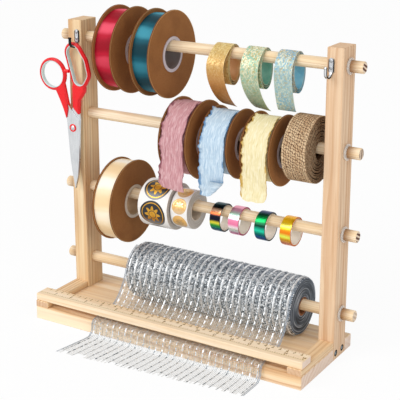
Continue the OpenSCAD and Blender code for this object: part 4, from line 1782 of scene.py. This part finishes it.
@dataclass
class GlitterHank:
    """Loose loops of glitter ribbon on the top rod, ending in a tail."""

    colour: str
    front: Glitter
    back: Lining
    belly: float
    reach: float
    fall: float
    twist: float = 0.0
    turns: int = 3
    thick: float = 0.4 * MM
    seed: float = 0.0
    rod_gap: float = 0.55 * MM
    hang: float = 43 * MM
    half_loop: float = 13.5 * MM
    # What each turn adds above the rod, below it and to each side
    growth: tuple[float, float, float] = (1.1 * MM, 2.6 * MM, 1.4 * MM)
    edge: float = 0.5 * MM
    stray: float = 0.7 * MM
    cup: float = 0.15 * MM
    turn_steps: int = 48
    tail_steps: int = 32
    tail_from: float = field(init=False)

    def route(self) -> Route:
        """Gives the strip's path from its inner end to the end of its tail.

        Returns:
            The path.
        """
        y, z = middle("rod_1")
        top = z + half_height("rod_1") + self.rod_gap
        up, down, out = self.growth
        points = []
        for i in range(self.turns * self.turn_steps + self.turn_steps // 4 + 1):
            turn = i / self.turn_steps
            high, low = top + up * turn, top - self.hang - down * turn
            swell = max(0.0, turn - self.turns) * 4
            half = self.half_loop + out * turn + self.belly * (1 - math.cos(math.pi * swell)) / 2
            points.append((y - half * math.sin(TURN * turn),
                           (high + low + (high - low) * math.cos(TURN * turn)) / 2))
        leave = Vector(points[-1])
        end = Vector((y + self.reach, z - self.fall))
        drop, lean = leave.y - end.y, end.x - leave.x
        pull = [leave, leave - Vector((0, drop * 0.4)), end + Vector((-lean * 0.4, drop * 0.12)), end]
        self.tail_from = Route(points).length
        return Route(points + pulled(pull, self.tail_steps))

    def build(self) -> list[Piece]:
        """Winds the loops and lets the tail fall.

        Returns:
            The new pieces.
        """
        node = f"{self.colour}_coil"
        route = self.route()
        left, right = width(node)

        def place(share: float, part: float) -> Vector:
            """Gives the ribbon, a little uneven from loop to loop.

            Args:
                share: Share along.
                part: Share across.

            Returns:
                The point.
            """
            here, normal = route.at(share)
            stray = self.stray * ripple(share * 9, self.seed, 0.0)
            cup = self.cup * ripple(share * 30, part * 2, self.seed)
            past = max(0.0, share * route.length - self.tail_from) / (route.length - self.tail_from)
            turned = self.twist * past ** 2 * (0.5 - part)
            x = left + self.edge + (right - left - 2 * self.edge) * part + stray
            return Vector((x, here.y + turned, here.z)) + normal * cup

        piece = Bench.grid(f"{self.colour}_hank_strip", along=340, across=8, place=place)
        self.front.on_piece(piece, self.back)
        Bench.apply(piece, "SOLIDIFY", thickness=self.thick, offset=0.0, material_offset=1)
        Bench.tidy(piece, angle=60.0, merge=0.0, turn=False)
        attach(piece, f"{self.colour}_hank")
        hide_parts(node)
        return [piece]


def wind(name: str, node: str, core: str, step: float, lip: float, across: int) -> Piece:
    """Winds a roll on its core.

    Args:
        name: The piece's name.
        node: The roll's node.
        core: The core's node.
        step: How far the free end stands proud.
        lip: How far the corners fall away.
        across: Number of faces across its outside.

    Returns:
        The closed piece.
    """
    outer = half_height(node)

    def reach(share: float, part: float) -> float:
        """Gives the outer radius at a share round and a share across."""
        return outer - step * (1 - share) - (lip if part in (0.0, 1.0) else 0.0)

    return Bench.ring(name, middle(core), width(node), half_height(core) + CORE_GAP, reach, 144, across)


@dataclass
class LabelRoll:
    """A roll of round labels on a paper core."""

    name: str
    finish: dict[str, Any]
    step: float = 0.4 * MM
    lip: float = 0.25 * MM

    def build(self) -> list[Piece]:
        """Winds the paper and dresses the core.

        Returns:
            The new pieces.
        """
        node, core = f"{self.name}_roll", f"{self.name}_core"
        axis = middle(core)
        piece = wind(f"{self.name}_paper", node, core, self.step, self.lip, across=10)
        LabelPaper(f"{self.name} paper", "label_paper", axis, half_height(node), sum(width(node)) / 2,
                   **self.finish).on_piece(piece)
        Card(f"{self.name} core card", "core_card", "d6c8b6", "efe5d8", axis).on_node(core)
        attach(piece, f"{self.name}_reel")
        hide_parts(node)
        return [piece]


@dataclass
class TapeRoll:
    """A roll of mirror tape on a white core."""

    number: int
    slot: str
    bands: tuple[tuple[float, Colour], ...]
    edge: Colour
    step: float = 0.12 * MM
    lip: float = 0.18 * MM

    def build(self) -> list[Piece]:
        """Winds the film and dresses the core.

        Returns:
            The new pieces.
        """
        node, core = f"tape_{self.number}", f"tape_core_{self.number}"
        axis = middle(core)
        piece = wind(f"tape_film_{self.number}", node, core, self.step, self.lip, across=8)
        Film(f"tape {self.number} film", self.slot, axis, self.bands, self.edge).on_piece(piece)
        Card(f"tape {self.number} core card", "tape_card", "fffdf8", "f6eee2", axis,
             half_height(core), self.edge).on_node(core)
        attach(piece, f"tape_reel_{self.number}")
        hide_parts(node)
        return [piece]


@dataclass
class MeshRoll:
    """The wide roll of net and the sheet that it pays out through the slot."""

    lines: int = 26
    dash: float = 7.5 * MM
    foil: float = 1.5 * MM
    reach_out: float = 70 * MM
    skew: float = 22 * MM
    spread: float = 5 * MM
    flare: float = 14 * MM
    fray: float = 3 * MM
    sunk: float = 0.55 * MM
    foil_sunk: float = 0.3 * MM
    uneven: float = 0.3 * MM
    end_fall: float = 1.8 * MM
    end_soft: float = 5 * MM
    stand_off: float = 0.9 * MM
    lie: float = 0.6 * MM
    overhang: float = 3 * MM
    over_from: float = 105.0
    over_sweep: float = 63.0
    over_steps: int = 12
    sag_steps: int = 16
    lay_steps: int = 8
    thread_rows: int = 160
    # Where the edge threads run, from the nearer edge, and each one's own left and right
    thread_in: tuple[float, float] = (0.3 * MM, 2.0 * MM)
    thread_sides: tuple[float, float] = (-0.3 * MM, 0.5 * MM)
    thread_lift: float = 0.2 * MM
    chance: random.Random = field(default_factory=lambda: random.Random(7))
    axis: tuple[float, float] = field(init=False)
    ends: tuple[float, float] = field(init=False)
    wide: float = field(init=False)
    radius: float = field(init=False)
    route: Route = field(init=False)
    leave_share: float = field(init=False)
    slot_share: float = field(init=False)
    floor_share: float = field(init=False)

    def build(self) -> list[Piece]:
        """Winds the roll, lays the sheet and threads foil through both.

        Returns:
            The new pieces.
        """
        self.axis = middle("mesh_core")
        self.ends = width("mesh_roll")
        self.wide = self.ends[1] - self.ends[0]
        self.radius = half_height("mesh_roll")
        Card("mesh tube card", "core_card", "7a4a2b", "a3714a", self.axis).on_node("mesh_core")
        roll = self._roll()
        roll_foil = self._roll_foil()
        sheet = self._sheet()
        sheet_foil, cords = self._sheet_foil(), self._sheet_cords()
        return [roll, roll_foil, sheet, sheet_foil, cords]

    def _roll(self) -> Piece:
        """Winds the net in uneven layers.

        Returns:
            The piece.
        """
        def reach(share: float, part: float) -> float:
            """Outer radius, which falls away at the ends.

            Args:
                share: Share of a turn.
                part: Share across.

            Returns:
                The radius.
            """
            near = min(part, 1 - part) * self.wide
            soft = max(0.0, 1 - near / self.end_soft) ** 2
            sway = ripple(share * 14, part * 26, 1.0) * math.sin(math.pi * share)
            return self.radius - self.sunk - self.end_fall * soft + self.uneven * sway

        piece = Bench.ring("mesh_winding", self.axis, self.ends, half_height("mesh_core") + CORE_GAP,
                           reach, around=160, across=120)
        MeshWrap("mesh wrap", "mesh_fabric", self.axis, self.radius, self.ends[0],
                 self.wide / self.lines).on_piece(piece)
        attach(piece, "mesh_reel")
        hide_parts("mesh_roll")
        return piece

    def _dashes(self, name: str, place: Callable[[float, float, float], Vector], long: float,
                gap: float) -> Piece:
        """Threads broken lines of foil through the net, each dash with its own twist.

        Args:
            name: The piece's name.
            place: Gives the point for a length along, a share across and a height above the net.
            long: Length of one line.
            gap: Share of a dash that is left out between two.

        Returns:
            The dashes as one piece.
        """
        count = int(long / self.dash)
        spots = []
        for line in range(self.lines):
            for i in range(count):
                twist = self.chance.uniform(-0.6, 0.6)
                start = (i + self.chance.uniform(0.0, 0.3)) * self.dash
                length = self.dash * (1 - gap * self.chance.uniform(0.5, 1.6))
                spots.append(((line + 0.5) / self.lines, start, length, twist))
        last_row = 4 * len(spots) - 1

        def corner(share: float, part: float) -> Vector:
            """Gives a corner of the dash that a row of the grid stands for, four rows to a dash.

            Args:
                share: Share along.
                part: Share across.

            Returns:
                The point.
            """
            row = min(int(round(share * last_row)), last_row)
            across, start, length, twist = spots[row // 4]
            side = (part - 0.5) * self.foil
            far = start + length * (row % 4) / 3
            lift = abs(side) * 0.3 + side * math.sin(twist)
            return place(far, across + side * math.cos(twist) / self.wide, lift)

        piece = Bench.grid(name, last_row, 1, corner)
        Bench.part(piece, lambda face: face % 4 == 3)
        return piece

    def _roll_foil(self) -> Piece:
        """Threads foil round the roll.

        Returns:
            The piece.
        """
        def place(far: float, across: float, lift: float) -> Vector:
            """Gives a point on the roll.

            Args:
                far: Length round.
                across: Share across.
                lift: Height above the roll.

            Returns:
                The point.
            """
            angle = far / self.radius
            out = self.radius - self.foil_sunk + lift
            return Vector((self.ends[0] + self.wide * across,
                           self.axis[0] + out * math.cos(angle), self.axis[1] + out * math.sin(angle)))

        piece = self._dashes("mesh_roll_foil", place, TURN * self.radius, gap=0.25)
        Foil("foil", "mesh_fabric").on_piece(piece)
        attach(piece, "mesh_reel")
        return piece

    def _surface(self, share: float, part: float, lift: float = 0.0) -> Vector:
        """Lays a point of the net on the sheet's path.

        Args:
            share: Share along.
            part: Share across.
            lift: Height above the sheet.

        Returns:
            The point.
        """
        here, normal = self.route.at(share)
        slid = min(max((share - self.leave_share) / (self.slot_share - self.leave_share), 0.0), 1.0)
        out = min(max((share - self.floor_share) / (1 - self.floor_share), 0.0), 1.0)
        spread = self.spread * slid + (self.flare - self.spread) * out
        x = self.ends[0] + self.wide * part - spread * (1 - part)
        ragged = self.fray * out ** 6 * ripple(part * 47, 3.0, 1.0)
        return Vector((x, here.y + out * self.skew * part + ragged, here.z)) - normal * lift

    def _sheet(self) -> Piece:
        """Lays the net over the roll's front, through the slot and out on the table.

        Returns:
            The piece.
        """
        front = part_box("base_board")[0].y
        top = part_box("base_board")[1].z
        bar_low, bar_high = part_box("ruler_bar")
        slot = (bar_high.y, (top + bar_low.z) / 2)
        out = self.radius + self.stand_off
        over = [(self.axis[0] + out * math.cos(a), self.axis[1] + out * math.sin(a))
                for a in (math.radians(self.over_from + self.over_sweep * i / self.over_steps)
                          for i in range(self.over_steps + 1))]
        leave = over[-1]
        pull = (leave[1] - slot[1]) * 0.7
        ends = [Vector(leave), Vector((leave[0] - 0.3 * pull, leave[1] - 0.95 * pull)),
                Vector((slot[0] + (leave[0] - slot[0]) * 0.45, slot[1])), Vector(slot)]
        sag = pulled(ends, self.sag_steps)
        edge = front - self.overhang
        lay = bend([slot, (front + self.overhang, slot[1] - MM), (edge, top - MM),
                    (edge - 1.5 * MM, top * 0.45), (edge - 6 * MM, 2.5 * MM), (edge - 14 * MM, self.lie),
                    (front - self.reach_out, self.lie)], self.lay_steps)
        self.route = Route(over + sag + lay[1:])
        floor_index = len(over) + len(sag) + self.lay_steps * 5
        self.leave_share, self.slot_share, self.floor_share = (
            self.route.marks[index - 1] / self.route.length
            for index in (len(over), len(over) + len(sag), floor_index))
        piece = Bench.grid("mesh_sheet_cloth", along=200, across=90, place=self._surface)
        Net("net", "mesh_fabric", self.wide, self.route.length, self.floor_share,
            self.wide / self.lines).on_piece(piece)
        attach(piece, "frame")
        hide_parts("mesh_sheet")
        return piece

    def _sheet_foil(self) -> Piece:
        """Threads foil through the sheet.

        Returns:
            The piece.
        """
        long = self.route.length

        def place(far: float, across: float, lift: float) -> Vector:
            """Gives a point on the sheet."""
            return self._surface(far / long, across, lift)

        piece = self._dashes("mesh_sheet_foil", place, long, gap=0.3)
        Foil("sheet foil", "mesh_fabric", floor=1.0).on_piece(piece)
        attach(piece, "frame")
        return piece

    def _sheet_cords(self) -> Piece:
        """Runs a pair of dyed threads along each edge of the sheet.

        Returns:
            The piece.
        """
        spots = [*self.thread_in, *(self.wide - far for far in reversed(self.thread_in))]
        last_column = 2 * len(spots) - 1

        def place(share: float, part: float) -> Vector:
            """Gives one of the threads, which are four strips of the grid.

            Args:
                share: Share along.
                part: Share across.

            Returns:
                The point.
            """
            column = int(round(part * last_column))
            far = spots[column // 2] + self.thread_sides[column % 2]
            return self._surface(share, far / self.wide, self.thread_lift)

        piece = Bench.grid("mesh_sheet_cords", self.thread_rows, last_column, place)
        Bench.part(piece, lambda face: face // self.thread_rows % 2 == 1)
        Foil("dyed thread", "mesh_fabric", "8794a3", "55606d", shine=0.15).on_piece(piece)
        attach(piece, "frame")
        return piece


@dataclass
class Scissors:
    """Hung scissors with moulded handles, soft grips and ground blades."""

    voxel: float = 0.55 * MM
    handle_rounds: int = 9
    grip_rounds: int = 3
    washer: float = 5.5 * MM
    washer_gap: float = 0.05 * MM
    # The washer's section, as the scale and the move of each step from its outer edge
    washer_steps: tuple[tuple[float, float], ...] = (
        (1.0, -0.6 * MM), (0.94, -0.2 * MM), (0.7, 0.0), (0.96, 0.2 * MM), (1.0, 0.6 * MM))

    def build(self) -> list[Piece]:
        """Rounds the handles and grips and dresses the blades.

        Returns:
            The new pieces.
        """
        red = Plastic("red plastic", "red_plastic")
        grip = Plastic("grip rubber", "grey_grip", "d3e6e6", "aebfc0", 0.5)
        pieces = [self._rounded("large_handle", "scissors", red, self.handle_rounds),
                  self._rounded("small_handle", "front_half", red, self.handle_rounds),
                  self._rounded("large_grip", "scissors", grip, self.grip_rounds),
                  self._rounded("small_grip", "front_half", grip, self.grip_rounds)]
        Metal("blade steel", "blade_steel", "dcdee0", "a9adb1", 0.22,
              (1500.0, 40.0, 60.0)).on_node("front_blade", "back_blade")
        Metal("pin steel", "nickel", "d8dadc", "8b9094", 0.2).on_node("pivot_pin")
        pieces.append(self._washer(red))
        return pieces

    def _rounded(self, node: str, body: str, finish: Finish, rounds: int) -> Piece:
        """Copies a node and rounds it all over.

        Args:
            node: The node.
            body: The body that it rides on.
            finish: Its finish.
            rounds: Number of smoothing passes.

        Returns:
            The rounded piece.
        """
        piece = Bench.copy(node, f"{node}_moulded")
        Bench.apply(piece, "REMESH", mode="VOXEL", voxel_size=self.voxel)
        Bench.apply(piece, "SMOOTH", factor=0.5, iterations=rounds)
        Bench.pick(piece)
        bpy.ops.object.shade_smooth()
        finish.on_piece(piece)
        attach(piece, body)
        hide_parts(node)
        return piece

    def _washer(self, finish: Finish) -> Piece:
        """Turns the red washer round the pivot's head.

        Args:
            finish: Its finish.

        Returns:
            The piece.
        """
        low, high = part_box("pivot_pin")
        x, z = (low.x + high.x) / 2, (low.z + high.z) / 2
        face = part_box("front_blade")[0].y
        Bench.clear()
        bpy.ops.mesh.primitive_circle_add(vertices=48, radius=self.washer, rotation=(math.pi / 2, 0, 0),
                                          location=(x, face - self.washer_gap, z))
        piece = Bench.named("pivot_washer")
        bpy.ops.object.transform_apply(location=True, rotation=True, scale=True)
        Bench.mode("EDIT")
        bpy.ops.mesh.select_mode(type="VERT")
        bpy.ops.mesh.select_all(action="SELECT")
        for scale, move in self.washer_steps:
            bpy.ops.mesh.extrude_region_move(TRANSFORM_OT_translate={"value": (0, move, 0)})
            bpy.ops.transform.resize(value=(scale, 1.0, scale), center_override=(x, face, z))
        Bench.mode("OBJECT")
        Bench.tidy(piece, angle=50.0)
        finish.on_piece(piece)
        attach(piece, "front_half")
        return piece


@dataclass
class Studio:
    """Floor, light and camera."""

    camera_at: tuple[float, float, float] = (0.74369, -1.18868, 0.65699)
    camera_turn: tuple[float, float, float] = (73.5281, 0.0305, 31.4252)
    lens: float = 101.555
    sensor: float = 36.0
    shift: float = -0.1
    far: float = 50.0
    world: float = 0.5
    sun: float = 1.15
    sun_turn: tuple[float, float, float] = (48.0, 0.0, -14.0)
    sun_spread: float = 50.0
    # Each soft lamp's place, size and power
    softboxes: tuple[tuple[tuple[float, float, float], float, float], ...] = (
        ((-1.0, -1.5, 1.3), 1.1, 9.0), ((1.5, -0.7, 0.9), 0.9, 6.0))
    lit: tuple[float, float, float] = (0.0, 0.0, 0.2)
    floor_size: float = 12.0
    floor_tone: Colour = "fbfbfb"
    floor_white: float = 0.92
    seen_as_white: tuple[str, ...] = ("Is Camera Ray", "Is Glossy Ray", "Is Transmission Ray")

    def build(self) -> None:
        """Sets the stage."""
        scene = bpy.context.scene
        scene.view_settings.view_transform = "Standard"
        self._world(scene)
        self._floor()
        Bench.clear()
        bpy.ops.object.light_add(type="SUN", rotation=[math.radians(a) for a in self.sun_turn])
        lamp = bpy.context.object.data
        lamp.energy = self.sun
        lamp.angle = math.radians(self.sun_spread)
        for at, size, power in self.softboxes:
            self._softbox(at, size, power)
        bpy.ops.object.camera_add(location=self.camera_at,
                                  rotation=Euler([math.radians(a) for a in self.camera_turn]))
        camera = bpy.context.object
        camera.data.lens = self.lens
        camera.data.sensor_width = self.sensor
        camera.data.shift_y = self.shift
        camera.data.clip_end = self.far
        scene.camera = camera

    def _softbox(self, at: tuple[float, float, float], size: float, power: float) -> None:
        """Hangs a square lamp that points at the rack's middle.

        Args:
            at: Its place.
            size: Its side.
            power: Its power.
        """
        way = Vector(self.lit) - Vector(at)
        bpy.ops.object.light_add(type="AREA", location=at, rotation=way.to_track_quat("-Z", "Y").to_euler())
        lamp = bpy.context.object.data
        lamp.size = size
        lamp.energy = power

    def _seen(self, graph: Graph) -> Sock:
        """Is 1 to the eye and in reflections, and 0 where light only falls."""
        rays = [graph.node("ShaderNodeLightPath", {}, {}, name) for name in self.seen_as_white]
        return rays[0].math("MAXIMUM", rays[1]).math("MAXIMUM", rays[2])

    def _world(self, scene: bpy.types.Scene) -> None:
        """Gives an even white surround that is plain white to the eye.

        Args:
            scene: The scene.
        """
        scene.world = scene.world or bpy.data.worlds.new("studio")
        graph = Graph(scene.world)
        level = self._seen(graph) * (1 - self.world) + self.world
        light = graph.node("ShaderNodeBackground", {}, {"Color": tint("ffffff"), "Strength": level})
        graph.end(light, "ShaderNodeOutputWorld")

    def _floor(self) -> None:
        """Lays a wide pale floor."""
        Bench.clear()
        bpy.ops.mesh.primitive_plane_add(size=self.floor_size)
        floor = Bench.named("floor")
        material = bpy.data.materials.new("floor")
        graph = Graph(material)
        plain = graph.node("ShaderNodeBsdfDiffuse", {}, {"Color": tint(self.floor_tone)})
        white = graph.node("ShaderNodeEmission", {}, {"Strength": 1.0})
        share = self._seen(graph) * self.floor_white
        graph.end(graph.node("ShaderNodeMixShader", {}, {0: share, 1: plain, 2: white}))
        floor.data.materials.append(material)


def goods() -> list[Any]:
    """Lists what is threaded on the rods and hung on the hooks.

    Returns:
        The sub-assemblies, each ready to build.
    """
    gold = Glitter("gold glitter", "gold_glitter", "d8b96e", "f1e3ae", "b28c48", "b89250",
                   low="b87434", turned=0.9, strewn=0.5)
    green = Glitter("green glitter", "green_glitter", "ccd0ae", "f0e6c2", "7fb9a2", "a3b192",
                    low="8fae92", turned=0.55, spark="c2a85e", shine=0.3, mixed=0.7)
    azure = Glitter("azure glitter", "azure_glitter", "acbbb4", "e4dac0", "5896c0", "86a3a4",
                    low="97bcb8", turned=0.5, spark="b99a5a", shine=0.3, mixed=0.8)
    # Each tape's bands round its roll: its own colour and painted reflections
    black = ((0.0, "0b1a26"), (0.2, "0b2c38"), (0.27, "0a3f46"), (0.34, "0a1418"), (0.38, "fbd3ae"),
             (0.41, "e0703a"), (0.44, "10101e"), (0.49, "14142c"), (0.52, "e8d83a"), (0.55, "39b54a"),
             (0.6, "0f7a82"), (0.65, "143a6a"), (1.0, "0b1a26"))
    rose = ((0.0, "e79ab4"), (0.2, "ef9fb6"), (0.33, "f0a3b9"), (0.38, "c9f2dc"), (0.42, "f2fff8"),
            (0.45, "f58fb0"), (0.5, "f07fa8"), (0.54, "f8f4f8"), (0.57, "dff3ea"), (0.62, "e886b0"),
            (1.0, "e79ab4"))
    forest = ((0.0, "0c3f6a"), (0.2, "103b7a"), (0.28, "0a2f52"), (0.33, "07603a"), (0.38, "17d76c"),
              (0.42, "0a5a34"), (0.46, "063a2c"), (0.51, "25d4aa"), (0.54, "0f8f7a"), (0.6, "0d4f96"),
              (0.66, "0c3a70"), (1.0, "0c3f6a"))
    amber = ((0.0, "e8892a"), (0.2, "f2a93a"), (0.3, "f5b81a"), (0.36, "ffd21a"), (0.4, "fbf56a"),
             (0.43, "f59a1a"), (0.48, "f0821a"), (0.52, "e2f45a"), (0.55, "f2c02a"), (0.61, "f0936a"),
             (1.0, "e8892a"))
    return [
        SatinSpool("red", "bd1d35", "950f22", "ee5a70", seed=1.0),
        SatinSpool("teal", "1b5a6a", "0f3741", "4497ab", seed=5.0),
        SatinSpool("cream", "fbe7c4", "f0d3a6", "fff9ec", seed=9.0),
        FrilledSpool("pink", "c99599", "9c616b", "dfb9bc", "7d4450", phase=0.0, slant=-3 * MM,
                     trims=(13 * MM, 5 * MM), seed=2.0),
        FrilledSpool("blue", "bbd0e0", "8aacca", "dce9f2", "4d7fae", phase=math.radians(120), slant=5 * MM,
                     corner=15 * MM, seed=6.0),
        FrilledSpool("yellow", "ece0b4", "d4c282", "f6eed2", "c0921c", phase=math.radians(240), slant=-1 * MM,
                     trims=(11 * MM, 14 * MM), seed=11.0),
        BurlapRoll(),
        GlitterHank("gold", gold, Lining("copper lining", "gold_glitter"),
                    belly=11 * MM, reach=11 * MM, fall=71.5 * MM, twist=8 * MM, seed=1.0),
        GlitterHank("green", green, Lining("sea lining", "green_glitter", "74c0ac", "aedfcf"),
                    belly=6 * MM, reach=18 * MM, fall=73 * MM, twist=8 * MM, seed=4.0),
        GlitterHank("azure", azure, Lining("sky lining", "azure_glitter", "78c8e6", "b4e6f6"),
                    belly=2.5 * MM, reach=-6 * MM, fall=64 * MM, seed=8.0),
        LabelRoll("label", {"spot": 20.0 * MM, "count": 5, "phase": 0.167}),
        LabelRoll("slim", {"spot": 11.2 * MM, "count": 7, "phase": 0.06, "sticker": "e9b563",
                           "motif": "fbe6b4"}),
        TapeRoll(1, "dark_film", black, "0d1116"),
        TapeRoll(2, "rose_film", rose, "b5305c"),
        TapeRoll(3, "forest_film", forest, "0a1a14"),
        TapeRoll(4, "amber_film", amber, "e0761a"),
        MeshRoll(),
        Scissors(),
    ]


def main() -> None:
    """Builds every sub-assembly in order and reports its pieces."""
    logging.basicConfig(level=logging.INFO, format="%(name)s: %(message)s")
    Studio().build()
    for part in [WoodFrame(), Rods(), *goods()]:
        for piece in part.build():
            LOG.info("%s has %d faces", piece.name, len(piece.data.polygons))
    bpy.context.view_layer.update()


if __name__ == "__main__":
    main()
